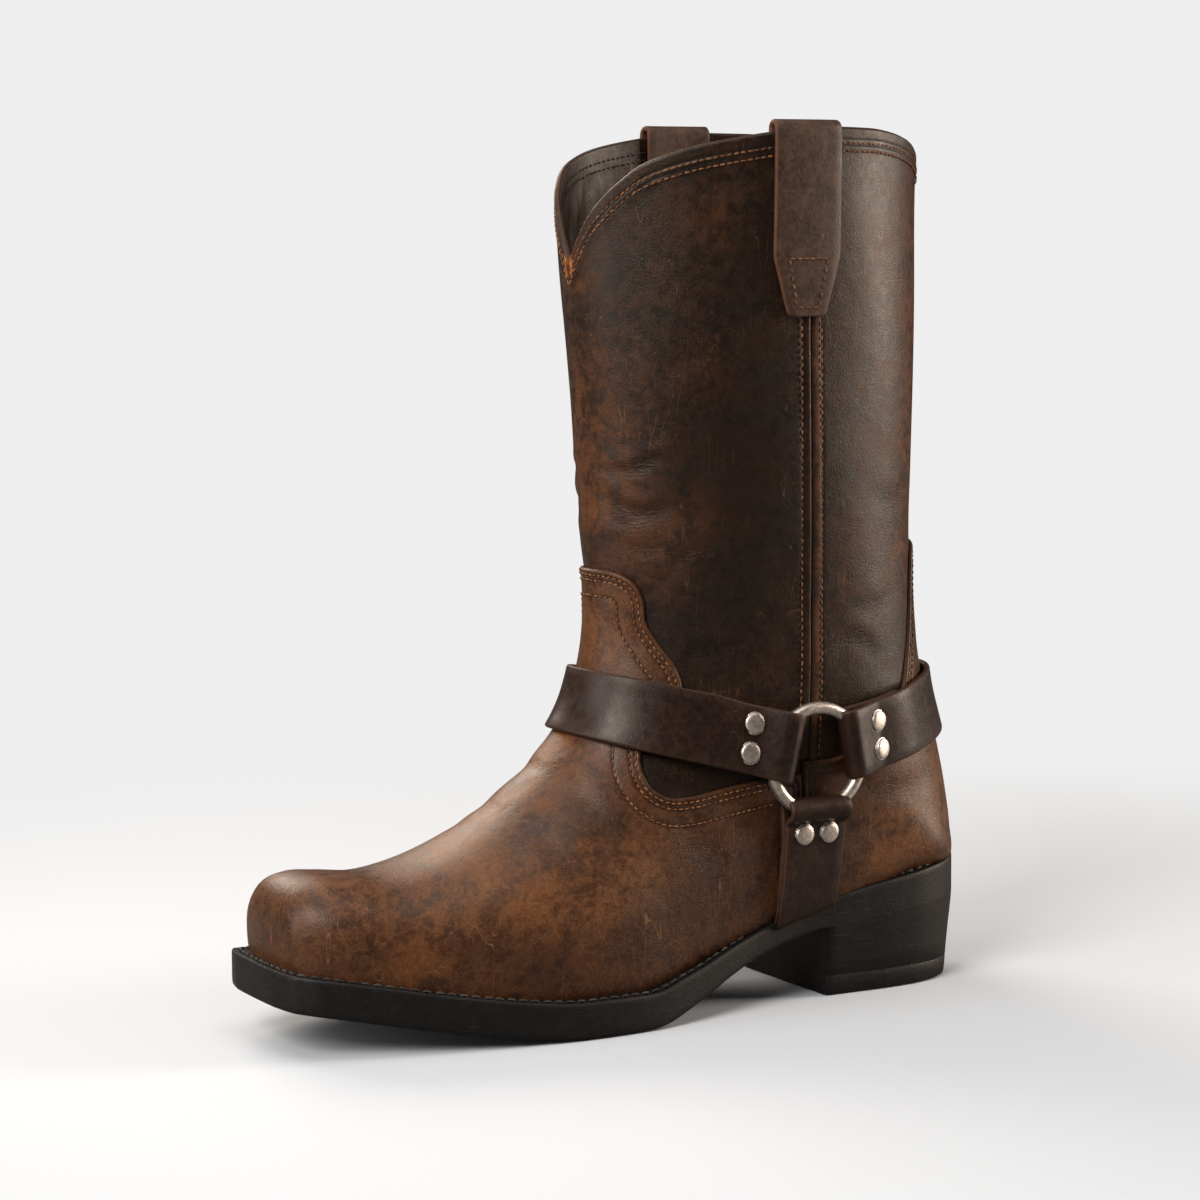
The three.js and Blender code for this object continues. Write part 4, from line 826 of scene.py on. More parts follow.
def threadNearness(rim, seam):
    look = upperLook
    near = np.zeros(len(rim))
    for row in look["collarRows"]:
        near = np.maximum(near, np.exp(-(((rim - row) / 0.8) ** 2)))
    return np.maximum(near, np.exp(-(((np.abs(seam) - look["stitchFromGroove"]) / 0.8) ** 2)))


# vamp and counter, sewn over the upper
overlayLook = {
    "thickness": boot["overlayThickness"], "edgeRadius": 0.75, "vampRows": (2.2, 4.4, 10.8),
    "counterRows": (2.4, 5.0), "channel": 0.32, "rise": 0.35, "tabThinning": 0.45,
}


def buildOverlay(name, columns, rows, outline3, polygon, stitchRows, creaseNames, tints):
    look = overlayLook
    sheet = flatPattern(columns, rows)
    u, v = placesOf(sheet)
    base = onForm(u, v)
    away = distanceTo(outline3, base)[0]
    inside = insideOutline(polygon, base[:, 1], base[:, 2])
    setField(sheet, "edge", np.where(inside, away, -away))
    setField(sheet, "seat", seatField(u, v, boot["gap"]))
    levels = [0.0, 0.25, 0.75]
    for row in stitchRows:
        levels += [row - 0.7, row, row + 0.7]
    for level in levels:
        splitAt(sheet, "edge", level)
    dropBelow(sheet, "edge")
    splitAt(sheet, "seat", 0.0)
    dropBelow(sheet, "seat")
    u, v = placesOf(sheet)
    base = onForm(u, v)
    edgeLayer = sheet.verts.layers.float["edge"]
    edge = np.array([vert[edgeLayer] for vert in sheet.verts])
    creases, creaseMask = creaseRelief(creaseNames, base, u, v)
    stitchShade = np.zeros(len(u))
    thin = look["tabThinning"] * np.clip((base[:, 2] - 118) / 20, 0, 1) * (base[:, 1] > -50)
    relief = boot["gap"] + look["thickness"] * (1 - thin) - rounded(edge, look["edgeRadius"]) + creases
    relief += look["rise"] * np.exp(-(((edge - 1.2) / 0.9) ** 2))
    for row in stitchRows:
        relief -= look["channel"] * np.exp(-(((edge - row) / 0.55) ** 2))
        stitchShade = np.maximum(stitchShade, np.exp(-(((edge - row) / 0.8) ** 2)))

    def outer(u, v):
        return onForm(u, v, relief)

    def inner(u, v):
        return onForm(u, v, np.full(len(u), 0.06))

    def openEdge(edge):
        a, b = edge.verts
        atBack = abs(abs(a.co[0]) - turnLength / 2) < 1e-3 and abs(abs(b.co[0]) - turnLength / 2) < 1e-3
        return atBack or (a.co[1] < firstPlace + 1e-3 and b.co[1] < firstPlace + 1e-3)

    points, faces, kinds, source, layerOf = shellOf(sheet, outer, inner, [], openEdge)
    values = {
        "golden": tintOf(tints[0], base)[source], "dark": tintOf(tints[1], base)[source],
        "worn": tintOf(tints[2], base)[source],
        "crease": creaseMask[source], "stitchShade": stitchShade[source],
        "cutEdge": np.clip(1 - edge / 0.5, 0, 1)[source],
    }
    sheet.free()
    return meshPiece(name, points, faces, kinds, values)

# stitches
stitchLook = {"sides": 6, "unevenness": 0.06}


def stitchPiece(name, rows, material):
    # rows: (points, normals, pitch, length, width, height) along smooth lines
    allPoints, allFaces, tone, count = [], [], [], 0
    sides = stitchLook["sides"]
    shares = np.array([0.0, 0.1, 0.32, 0.68, 0.9, 1.0])
    swell = np.array([0.0, 0.62, 1.0, 1.0, 0.62, 0.0])
    angle = np.linspace(0, 2 * math.pi, sides, endpoint=False)
    chance = np.random.default_rng(7)
    for points, normals, pitch, length, width, height in rows:
        run = np.concatenate([[0], np.cumsum(np.linalg.norm(np.diff(points, axis=0), axis=1))])
        many = int(run[-1] // pitch)
        if many < 1:
            continue
        middle = (np.arange(many) + 0.5) * run[-1] / many + chance.uniform(-1, 1, many) * stitchLook["unevenness"] * pitch
        own = length * chance.uniform(0.9, 1.06, many)

        def at(where, table):
            return np.stack([np.interp(where, run, table[:, k]) for k in range(3)], -1)

        start, end = at(middle - own / 2, points), at(middle + own / 2, points)
        normal = at(middle, normals)
        normal /= np.linalg.norm(normal, axis=1, keepdims=True)
        along = end - start
        beside = np.cross(along, normal)
        beside /= np.linalg.norm(beside, axis=1, keepdims=True)
        turn = chance.uniform(-1, 1, many)[:, None] * stitchLook["unevenness"] * length
        start, end = start + beside * turn, end - beside * turn
        for s, w in zip(shares, swell):
            centre = start + (end - start) * s + normal * height * (0.55 * w - 0.4)
            around = [0.0] if w == 0 else angle
            for a in around:
                allPoints.append(centre + beside * (width / 2 * w * math.cos(a)) + normal * (height / 2 * w * math.sin(a)))
        layers = len([w for w in swell if w == 0]) + sides * len([w for w in swell if w])
        for i in range(many):
            own = [count + k * many + i for k in range(layers)]
            first, last, body = own[0], own[-1], own[1:-1]
            rings = [body[r * sides : (r + 1) * sides] for r in range(len(body) // sides)]
            for k in range(sides):
                j = (k + 1) % sides
                allFaces.append([first, rings[0][j], rings[0][k]])
                for a, b in zip(rings, rings[1:]):
                    allFaces.append([a[k], a[j], b[j], b[k]])
                allFaces.append([last, rings[-1][k], rings[-1][j]])
        tone.append(np.tile(chance.uniform(0, 1, many), layers))
        count += many * layers
    piece = meshPiece(name, np.concatenate(allPoints), allFaces, None, {"tone": np.concatenate(tone)})
    bpy.ops.object.mode_set(mode="EDIT")
    bpy.ops.mesh.select_all(action="SELECT")
    bpy.ops.mesh.normals_make_consistent(inside=False)
    bpy.ops.object.mode_set(mode="OBJECT")
    return dress(piece, material, ())


def rowOnForm(u, v, out, pitch, length, width, height):
    return onForm(u, v, np.zeros(len(u)) + out), wayOut(u, v), pitch, length, width, height


def besideLine(u, v, distance):  # the line moved sideways on the form, to its left when looking at it
    points, normals = onForm(u, v), wayOut(u, v)
    along = np.gradient(points, axis=0)
    left = np.cross(normals, along)
    left /= np.linalg.norm(left, axis=1, keepdims=True)
    return slide(u, v, left, distance)


# straps of the harness
strapLook = {
    "width": 28.0, "thickness": 2.5, "edgeRadius": 1.0, "ease": 0.8, "rivetRun": 30.0,
    "tailRun": 44.0, "settleRun": 62.0, "nose": {"front": 10.0, "rear": 12.5, "side": 15.0},
    "fall": {"front": (15.0, 14.0), "rear": (16.0, 16.0), "side": (20.9, 5.0)},
    "sideLean": -2.5, "sideThinning": 0.4,
}
ringLook = {"radius": 20.7, "wire": 5.0, "y": -47.5, "z": 99.0}
strapLow = boot["overlayThickness"] + 2 * boot["gap"]
underMid = strapLow + strapLook["thickness"] / 2
overMid = underMid + strapLook["thickness"]
ringOut = strapLow + strapLook["thickness"] + boot["gap"] + ringLook["wire"] / 2
wireMid = ringLook["wire"] / 2 + boot["gap"] + strapLook["thickness"] / 2
strapEnds = {"front": (166.0, -2.5), "rear": (10.5, 2.5), "side": (270.0, 0.0)}


def ringFrame(side):
    u, v = fromSide(ringLook["y"], ringLook["z"], side)
    skin, normal = onForm(u, v)[0], wayOut(u, v)[0]
    facing = np.array([normal[0], normal[1], 0.0])
    facing /= np.linalg.norm(facing)
    rear = np.array([0.0, 1.0, 0.0]) - facing * facing[1]
    rear /= np.linalg.norm(rear)
    return skin + facing * ringOut, facing, rear


ringFrames = {side: ringFrame(side) for side in (1, -1)}


def easeIn(x):
    x = np.clip(x, 0, 1)
    return x * x * (3 - 2 * x)


def levelOver(run, key):  # the upper layer's middle above the skin, from the fold outwards
    look = strapLook
    first, length = look["fall"][key]
    level = overMid + (ringOut + wireMid - overMid) * (1 - easeIn((run - first) / length))
    level = level - (overMid - strapLow - look["ease"] - look["thickness"] / 2) * easeIn(
        (run - look["tailRun"]) / (look["settleRun"] - look["tailRun"])
    )
    return level


def beltLine(key, across, lean=0.0):  # (run, u, v) where a strap's long line lies on the form, both sides
    degrees, beside = strapEnds[key]
    turn = math.radians(degrees)
    first, last = {"front": (-0.30, 0.30), "rear": (0.20, 0.80)}[key]
    columns = np.linspace(first, last, 481)
    rows = rowAt[200:900:2]
    gridU, gridV = np.meshgrid(columns, rows)
    p = onForm(gridU, gridV)
    y, z = p[..., 1] - ringLook["y"], p[..., 2] - ringLook["z"]
    left = z * math.cos(turn) - y * math.sin(turn) - beside - across
    run = y * math.cos(turn) + z * math.sin(turn)
    found = []
    for c in range(len(columns)):
        change = np.where((left[:-1, c] > 0) != (left[1:, c] > 0))[0]
        for r in change:
            share = left[r, c] / (left[r, c] - left[r + 1, c])
            at = run[r, c] + (run[r + 1, c] - run[r, c]) * share
            if at > 12:
                found.append((columns[c], rows[r] + (rows[r + 1] - rows[r]) * share, at))
                break
    return np.array(found)


def strapSection():
    look = strapLook
    half, thick, radius = look["width"] / 2, look["thickness"] / 2, look["edgeRadius"]
    flat = np.linspace(-(half - radius), half - radius, 9)
    corner = np.linspace(0, math.pi / 2, 4)[1:]
    across, out = list(flat), [thick] * 9
    for a in corner:
        across.append(half - radius + radius * math.sin(a))
        out.append(thick - radius + radius * math.cos(a))
    for a in corner[::-1]:
        across.append(half - radius + radius * math.sin(a))
        out.append(-(thick - radius + radius * math.cos(a)))
    across += list(flat[::-1])
    out += [-thick] * 9
    for a in corner:
        across.append(-(half - radius + radius * math.sin(a)))
        out.append(-(thick - radius + radius * math.cos(a)))
    for a in corner[::-1]:
        across.append(-(half - radius + radius * math.sin(a)))
        out.append(thick - radius + radius * math.cos(a))
    return np.array(across), np.array(out)


sectionAcross, sectionOut = strapSection()


def foldStations(key):
    # (run, level above the skin at the ring, layer) from the tail under the ring to past the fold
    look = strapLook
    noseRun = look["nose"][key]
    under = [(run, underMid) for run in np.linspace(look["tailRun"], noseRun + 7, 10)]
    centre = noseRun + wireMid + look["thickness"] / 2
    nose = [
        (centre - wireMid * math.sin(a), ringOut - wireMid * math.cos(a))
        for a in np.linspace(0, math.pi, 13)
    ]
    over = [(run, float(levelOver(run, key))) for run in np.linspace(centre + 1.5, 34, 16)]
    over += [(run, float(levelOver(run, key))) for run in np.linspace(37, look["settleRun"], 10)]
    return [place for place in under if place[0] > centre + 0.6] + nose + over


def strapPoint(side, key, run, across, level, skinAt):
    middle, facing, rear = ringFrames[side]
    degrees, beside = strapEnds[key]
    turn = math.radians(degrees)
    up = np.array([0.0, 0.0, 1.0])
    along = rear * math.cos(turn) + up * math.sin(turn)
    beyond = -rear * math.sin(turn) + up * math.cos(turn)
    flat = middle + along * run + beyond * (across + beside) + facing * (level - ringOut)
    weight = float(easeIn((run - 17.0) / 15.0))
    if weight <= 0:
        return flat
    skin, normal = skinAt(run, across)
    return flat * (1 - weight) + (skin + normal * level) * weight


def strapFrom(name, pathOf, flip, scales=None):
    places = np.unique(np.round(sectionAcross, 6))
    lines = [pathOf(a) for a in places]
    middle = np.array(lines).transpose(1, 0, 2)
    along = np.gradient(middle, axis=0)
    beyond = np.gradient(middle, places, axis=1)
    normal = np.cross(beyond, along) * flip
    normal /= np.maximum(np.linalg.norm(normal, axis=2, keepdims=True), 1e-9)
    column = np.searchsorted(places, np.round(sectionAcross, 6))
    run = np.concatenate([[0], np.cumsum(np.linalg.norm(np.diff(middle[:, len(places) // 2], axis=0), axis=1))])
    wave = 0.16 * np.sin(run / 9.0 + len(name)) + 0.12 * np.sin(run / 4.1)
    scale = np.array([scales[a] for a in places]).T[:, column] if scales else np.ones((len(middle), len(column)))
    points = middle[:, column] + normal[:, column] * (sectionOut * scale + wave[:, None])[:, :, None]
    points = np.concatenate([points, points[:, :1]], 1)
    edge = np.clip((np.abs(sectionAcross) - (strapLook["width"] / 2 - 1.3)) / 1.1, 0, 1)
    edge = np.append(edge, edge[0])
    ends = np.zeros(len(middle))
    ends[[0, -1]] = 1
    values = {
        "cutEdge": np.maximum(np.tile(edge, (len(middle), 1)), ends[:, None]).ravel(),
    }
    return points, values, middle, normal


def roundStrapPath(key):
    cache = {}
    stations = foldStations(key)

    def lineFor(across):
        if across not in cache:
            found = beltLine(key, across)
            halfTurn = 0.0 if key == "front" else 0.5
            cache[across] = {
                1: found[found[:, 0] >= halfTurn] if key == "front" else found[found[:, 0] <= halfTurn],
                -1: found[found[:, 0] <= halfTurn] if key == "front" else found[found[:, 0] >= halfTurn],
                0: found,
            }
        return cache[across]

    def skinFor(side):
        def skinAt(run, across):
            table = lineFor(across)[side]
            order = np.argsort(table[:, 2])
            u = np.interp(run, table[order, 2], table[order, 0])
            v = np.interp(run, table[order, 2], table[order, 1])
            return onForm(u, v), wayOut(u, v)

        return skinAt

    def pathOf(across):
        halves = {}
        for side in (1, -1):
            skinAt = skinFor(side)
            halves[side] = [strapPoint(side, key, run, across, level, skinAt) for run, level in stations]
        table = lineFor(across)[0]
        table = table[np.argsort(table[:, 0])]
        if key == "rear":
            table = table[::-1]
        level = strapLow + strapLook["ease"] + strapLook["thickness"] / 2
        inside = table[table[:, 2] > strapLook["settleRun"] + 2]
        skin = onForm(inside[:, 0], inside[:, 1], np.full(len(inside), level))
        run = np.concatenate([[0], np.cumsum(np.linalg.norm(np.diff(skin, axis=0), axis=1))])
        even = np.linspace(0, run[-1], 72)
        belt = np.stack([np.interp(even, run, skin[:, k]) for k in range(3)], 1)
        # the table runs from the inner side to the outer side
        return np.array(halves[-1] + list(belt) + halves[1][::-1])

    return pathOf


def sideStrapPath(side, scales):  # scales takes the thickness at each station, thinner towards the sole
    noseRun = strapLook["nose"]["side"]

    def pathOf(across):
        def lean(run):
            return strapLook["sideLean"] * easeIn((run - 24) / 40)

        runs = np.linspace(10, 90, 81)
        y = ringLook["y"] + across + lean(runs)
        z = ringLook["z"] - runs
        u, v = fromSide(y, z, side)

        def skinAt(run, across):
            uu, vv = np.interp(run, runs, u), np.interp(run, runs, v)
            return onForm(uu, vv), wayOut(uu, vv)

        bottom = ringLook["z"] - seatHeight(ringLook["y"] + across + strapLook["sideLean"]) - 0.2
        centre = noseRun + wireMid + strapLook["thickness"] / 2
        under = [(run, underMid) for run in np.linspace(bottom, centre + 1.2, 22)]
        nose = [
            (centre - wireMid * math.sin(a), ringOut - wireMid * math.cos(a))
            for a in np.linspace(0, math.pi, 13)
        ]
        over = [(run, float(levelOver(min(run, 40.0), "side"))) for run in np.linspace(centre + 1.5, 34, 14)]
        over += [(run, overMid + 0.35 * float(easeIn((run - 34) / 20))) for run in np.linspace(36.5, bottom, 14)]
        stations = under + nose + over
        thin = {run: 1 - strapLook["sideThinning"] * float(easeIn((run - bottom + 18) / 16)) for run, _ in stations}
        places = [(run, strapLow + (level - strapLow) * thin[run]) for run, level in stations]
        scales[across] = [thin[run] for run, _ in stations]
        return np.array([strapPoint(side, "side", run, across, level, skinAt) for run, level in places])

    return pathOf


def buildStrap(name, pathOf, flip, nodes, material, scales=None):
    points, values, middle, normal = strapFrom(name, pathOf, flip, scales)
    piece = gridPiece(name + "_leather", points, values, caps=True)
    return dress(piece, material, nodes), middle, normal


# rings and rivets
def buildRing(name, side, material):
    middle, facing, rear = ringFrames[side]
    deselectAll()
    bpy.ops.mesh.primitive_torus_add(
        major_segments=112, minor_segments=24, major_radius=ringLook["radius"] * mm,
        minor_radius=ringLook["wire"] / 2 * mm,
    )
    piece = bpy.context.object
    piece.name = piece.data.name = name + "_steel"
    while piece.data.uv_layers:
        piece.data.uv_layers.remove(piece.data.uv_layers[0])
    piece.rotation_mode = "QUATERNION"
    piece.rotation_quaternion = Vector((0, 0, 1)).rotation_difference(Vector(facing))
    piece.location = Vector(middle) * mm
    bpy.ops.object.transform_apply(location=True, rotation=True, scale=True)
    bpy.ops.object.shade_smooth()
    return dress(piece, material, name)


rivetLook = {"head": 8.2, "rise": 1.35, "spacing": 11.8, "press": 0.5}


def buildRivet(name, side, key, share, strapTop, material):
    degrees, beside = strapEnds[key]
    turn = math.radians(degrees)
    run, off = strapLook["rivetRun"], beside + share * rivetLook["spacing"]
    y = ringLook["y"] + math.cos(turn) * run - math.sin(turn) * off
    z = ringLook["z"] + math.sin(turn) * run + math.cos(turn) * off
    u, v = fromSide(y, z, side)
    skin, normal = onForm(u, v)[0], wayOut(u, v)[0]
    seat, out = strapTop(skin, normal)
    radius, rise = rivetLook["head"] / 2, rivetLook["rise"]
    press = radius + rivetLook["press"]
    profile = [(radius, -1.0), (press, -0.6), (press, 0.02), (press - 0.15, 0.08), (radius, 0.04), (radius, 0.35)]
    for a in np.linspace(0.1, 1, 10):
        profile.append((radius * math.cos(a * math.pi / 2) ** 0.7, 0.35 + (rise - 0.35) * math.sin(a * math.pi / 2) ** 0.8))
    profile[-1] = (0.0, rise)
    profile.insert(0, (0.0, -1.0))
    one = np.cross(out, [0.0, 0.0, 1.0])
    one /= np.linalg.norm(one)
    two = np.cross(out, one)
    angle = np.linspace(0, 2 * math.pi, 37)
    points = np.array([
        [seat + one * (r * math.cos(a)) + two * (r * math.sin(a)) + out * h for a in angle] for r, h in profile
    ])
    piece = gridPiece(name + "_steel", points)
    height = (np.array([face.center for face in piece.data.polygons]) / mm - seat) @ out
    # the flange faces go dark: pressed leather with painted shade round the head
    piece.data.polygons.foreach_set("material_index", (height < 0.12).astype(np.int32))
    return dress(piece, [material, materials["pressedLeatherAndShade"]], name)


# pull straps over the collar
pullLook = {
    "width": 30.0, "endWidth": 17.0, "thickness": 2.2, "length": 73.0, "taper": 23.0, "inside": 60.0,
    "rise": 0.8, "middleY": -57.0, "edgeRadius": 0.9,
}


def buildPull(name, side, material):
    look = pullLook
    thick, radius = look["thickness"] / 2, look["edgeRadius"]
    flat = np.linspace(-1, 1, 9)
    arc = np.linspace(0, math.pi, 7)[1:-1]
    outer = boot["gap"] + thick
    inner = -(boot["wallThickness"] + boot["gap"] + thick)
    centre, over = (outer + inner) / 2, (outer - inner) / 2
    top = boot["bootHeight"] + look["rise"] + thick
    rows = []
    low = boot["bootHeight"] - look["length"]
    for z in np.concatenate([[low, low + 0.6, low + 1.6], np.linspace(low + 3, top - over - 1, 34)]):
        half = look["width"] / 2
        half -= (look["width"] - look["endWidth"]) / 2 * np.clip(1 - (z - low) / look["taper"], 0, 1)
        half -= 1.2 * max(1 - (z - low) / 1.6, 0) ** 2
        rows.append((z, outer + 0.25 * np.clip((z - 300) / 40, 0, 1), half))
    for a in np.linspace(0, math.pi, 15):
        rows.append((top - over + over * math.sin(a), centre + over * math.cos(a) * 1.02, look["width"] / 2))
    for z in np.linspace(top - over - 2, boot["bootHeight"] - look["inside"], 24):
        rows.append((z, inner, look["width"] / 2))
    zs = np.array([row[0] for row in rows])
    levels = np.array([row[1] for row in rows])
    halves = np.array([row[2] for row in rows])
    section = [(f, 1.0, 0.0) for f in flat]
    section += [(1.0, math.cos(a), math.sin(a)) for a in arc]
    section += [(f, -1.0, 0.0) for f in flat[::-1]]
    section += [(-1.0, -math.cos(a), math.sin(a)) for a in arc]
    points = np.zeros((len(rows), len(section) + 1, 3))
    middle, normals = [], []
    for k, (f, out, push) in enumerate(section):
        across = f * (halves - radius) + np.sign(f) * push * radius
        u, v = fromSide(look["middleY"] + across, np.minimum(zs, 341.0), side)
        skin, normal = onForm(u, v), wayOut(u, v)
        base = skin.copy()
        base[:, 2] = zs
        flatNormal = normal * np.array([1, 1, 0])
        flatNormal /= np.linalg.norm(flatNormal, axis=1, keepdims=True)
        lean = (zs > 341)[:, None]
        base = np.where(lean, skin + (zs - 341)[:, None] * np.array([0, 0, 1]), skin)
        middle.append(base + flatNormal * levels[:, None])
    middle = np.array(middle).transpose(1, 0, 2)
    along = np.gradient(middle, axis=0)
    crossStep = middle[:, 8:9] - middle[:, 0:1]
    normal = np.cross(crossStep, along)
    normal /= np.linalg.norm(normal, axis=2, keepdims=True)
    if (normal[5, 4] * np.array([side, 0, 0])).sum() < 0:
        normal = -normal
    outs = np.array([s[1] for s in section]) * thick
    points[:, :-1] = middle + normal * outs[None, :, None]
    points[:, -1] = points[:, 0]
    edge = np.array([1.0 if abs(f) == 1 and push > 0 else 0.0 for f, out, push in section] + [0.0])
    ends = np.zeros(len(rows))
    ends[[0, -1]] = 1
    values = {
        "cutEdge": np.maximum(np.tile(edge, (len(rows), 1)), ends[:, None]).ravel(),
    }
    piece = gridPiece(name + "_leather", points, values, caps=True)
    return dress(piece, material, name)


# sole: welt, outsole, heel
soleLook = {"loop": 150, "weltWidth": 9.0, "heelTaper": 3.0, "liftTaper": 2.4, "grooveAt": 3.4}


def soleLoop(inset, corner=0.0):  # toe point, outer side, heel point, inner side
    steps = soleLook["loop"]
    first, last = alongFoot(soleOutline["along"][0]), alongFoot(soleOutline["along"][-1])
    way = -np.cos(np.linspace(0, math.pi, steps + 1))
    y = (first + last) / 2 + (last - first) / 2 * way
    toe, heel = [[-0.07 * boot["ballWidth"], toeTip]], [[0.0, heelBack]]
    outer = np.stack([outlineOuter(y), y], 1)
    inner = np.stack([-outlineInner(y[::-1]), y[::-1]], 1)
    loop = np.concatenate([toe, outer, heel, inner])
    for _ in range(2):
        loop = loop * 0.5 + (np.roll(loop, 1, 0) + np.roll(loop, -1, 0)) * 0.25
    along = np.roll(loop, -1, 0) - np.roll(loop, 1, 0)
    along /= np.linalg.norm(along, axis=1, keepdims=True)
    return loop + np.stack([-along[:, 1], along[:, 0]], 1) * np.asarray(inset)


def strips(count, offset, flip):  # faces across a loop whose two sides are paired
    half = count // 2
    faces = []
    for k in range(0, half):
        a, b = k, k + 1
        c, d = (count - k - 1) % count, (count - k) % count
        quad = [offset + i for i in (a, b, c, d)]
        quad = list(dict.fromkeys(quad))
        if len(quad) > 2:
            faces.append(quad[::-1] if flip else quad)
    return faces


def loopSolid(name, rings, values=None, closed=True):
    count = len(rings[0])
    faces = []
    for r in range(len(rings) - 1):
        for k in range(count):
            j = (k + 1) % count
            faces.append([r * count + k, r * count + j, (r + 1) * count + j, (r + 1) * count + k])
    if closed:
        faces += strips(count, 0, True)
        faces += strips(count, (len(rings) - 1) * count, False)
    else:
        last = (len(rings) - 1) * count
        for k in range(count):
            j = (k + 1) % count
            faces.append([last + k, last + j, j, k])
    piece = meshPiece(name, np.concatenate(rings), faces, None, values)
    bpy.ops.object.mode_set(mode="EDIT")
    bpy.ops.mesh.select_all(action="SELECT")
    bpy.ops.mesh.normals_make_consistent(inside=False)
    bpy.ops.object.mode_set(mode="OBJECT")
    deselectAll()
    piece.select_set(True)
    bpy.context.view_layer.objects.active = piece
    bpy.ops.object.shade_smooth_by_angle(angle=math.radians(35))
    return piece


def buildWelt(material):
    base = lambda y: soleThickness(y)
    under = lambda y: layerHeight(y, base(y))
    top = seatHeight
    lip = lambda y: 1.3 * easeIn((y - 26) / 8)
    rows = []
    profile = [
        (9.0, 0, 0.0), (0.0, 0, 0.0), (0.0, 0.4, 0.0), (0.0, 0.72, 0.0), (0.18, 0.9, 0.0), (0.55, 1.0, 0.0),
        (1.3, 1.0, 0.03), (2.3, 1.0, 0.02), (2.6, 1.0, -0.3), (3.9, 1.0, -0.35), (4.3, 1.0, -0.08), (9.0, 1.0, -0.1),
    ]
    for inset, share, extra in profile:
        loop = soleLoop(inset)
        y = loop[:, 1]
        z = under(y) + (top(y) - under(y)) * share + extra + (lip(y) if 0.15 < inset < 2.7 and share > 0.8 else 0)
        rows.append(np.column_stack([loop, z]))
    piece = loopSolid("welt_rubber", rows, None, closed=False)
    return dress(piece, material, "welt")


def buildOutsole(material):
    top = lambda y: layerHeight(y, soleThickness(y))
    under = soleUnder
    rows = []
    for inset, share in [
        (14.0, 0), (6.0, 0), (2.2, 0.0), (0.9, 0.02), (0.35, 0.07), (0.1, 0.16), (0.0, 0.3), (0.0, 0.6),
        (0.0, 0.9), (0.0, 1.0), (6.0, 1.0),
    ]:
        if inset < 3:  # the edge is rounded only in front of the heel
            inset = inset * (1 - easeIn((soleLoop(0)[:, 1:] + boot["heelBaseLength"] / 2 + 7) / 6))
        loop = soleLoop(inset)
        y = loop[:, 1]
        rows.append(np.column_stack([loop, under(y) + (top(y) - under(y)) * share]))
    piece = loopSolid("outsole_rubber", rows)
    return dress(piece, material, "outsole")


def heelLoop(inset):
    breast = -boot["heelBaseLength"] / 2
    loop = soleLoop(inset)
    behind = loop[loop[:, 1] > breast + 0.4]
    count = len(loop)
    start = np.where((loop[:, 1] > breast + 0.4) & (np.roll(loop, 1, 0)[:, 1] <= breast + 0.4))[0][0]
    order = [(start + k) % count for k in range(count) if loop[(start + k) % count, 1] > breast + 0.4]
    behind = loop[order]
    xOuter, xInner = behind[0][0], behind[-1][0]
    corner = 1.1
    across = np.linspace(xInner + corner, xOuter - corner, 14)
    front = np.stack([across, np.full(14, breast)], 1)
    bendIn = [[xInner + corner * 0.3, breast + corner * 0.3], ]
    bendOut = [[xOuter - corner * 0.3, breast + corner * 0.3], ]
    return np.concatenate([front, bendOut, behind, bendIn])


def heelSolid(name, levels, material):
    rows = []
    for inset, height in levels:
        loop = heelLoop(inset)
        rows.append(np.column_stack([loop, height(loop[:, 1])]))
    rows = [resampleLoop(row, 180) for row in rows]
    faces = []
    count = 180
    for r in range(len(rows) - 1):
        for k in range(count):
            j = (k + 1) % count
            faces.append([r * count + k, r * count + j, (r + 1) * count + j, (r + 1) * count + k])
    faces.append(list(range(count))[::-1])
    faces.append([(len(rows) - 1) * count + k for k in range(count)])
    piece = meshPiece(name + "_rubber", np.concatenate(rows), faces)
    bpy.ops.object.mode_set(mode="EDIT")
    bpy.ops.mesh.select_all(action="SELECT")
    bpy.ops.mesh.normals_make_consistent(inside=False)
    bpy.ops.object.mode_set(mode="OBJECT")
    takeUp(piece)
    bpy.ops.object.shade_smooth_by_angle(angle=math.radians(35))
    return dress(piece, material, name)


def resampleLoop(row, count):
    closed = np.concatenate([row, row[:1]])
    run = np.concatenate([[0], np.cumsum(np.linalg.norm(np.diff(closed[:, :2], axis=0), axis=1))])
    even = np.linspace(0, run[-1], count, endpoint=False)
    return np.stack([np.interp(even, run, closed[:, k]) for k in range(3)], 1)

# materials
def linear(r, g, b):  # a colour as it looks on a screen, 0 to 255, in the shader's own numbers
    def one(c):
        c /= 255
        return c / 12.92 if c <= 0.04045 else ((c + 0.055) / 1.055) ** 2.4

    return one(r), one(g), one(b), 1.0


def addNode(tree, kind, inputs=None, **settings):
    node = tree.nodes.new(kind)
    for key, value in settings.items():
        setattr(node, key, value)
    for key, value in (inputs or {}).items():
        socket = node.inputs[key]
        if isinstance(value, bpy.types.NodeSocket):
            tree.links.new(value, socket)
        else:
            socket.default_value = value
    return node


def newGroup(name, inputs, outputs):
    group = bpy.data.node_groups.new(name, "ShaderNodeTree")
    for key, kind, value in inputs:
        socket = group.interface.new_socket(key, in_out="INPUT", socket_type=kind)
        if value is not None:
            socket.default_value = value
    for key, kind in outputs:
        group.interface.new_socket(key, in_out="OUTPUT", socket_type=kind)
    start, end = group.nodes.new("NodeGroupInput"), group.nodes.new("NodeGroupOutput")
    return group, start, end


def millimetres(tree):
    place = addNode(tree, "ShaderNodeTexCoord").outputs["Object"]
    return addNode(tree, "ShaderNodeVectorMath", {0: place, "Scale": 1000.0}, operation="SCALE").outputs[0]


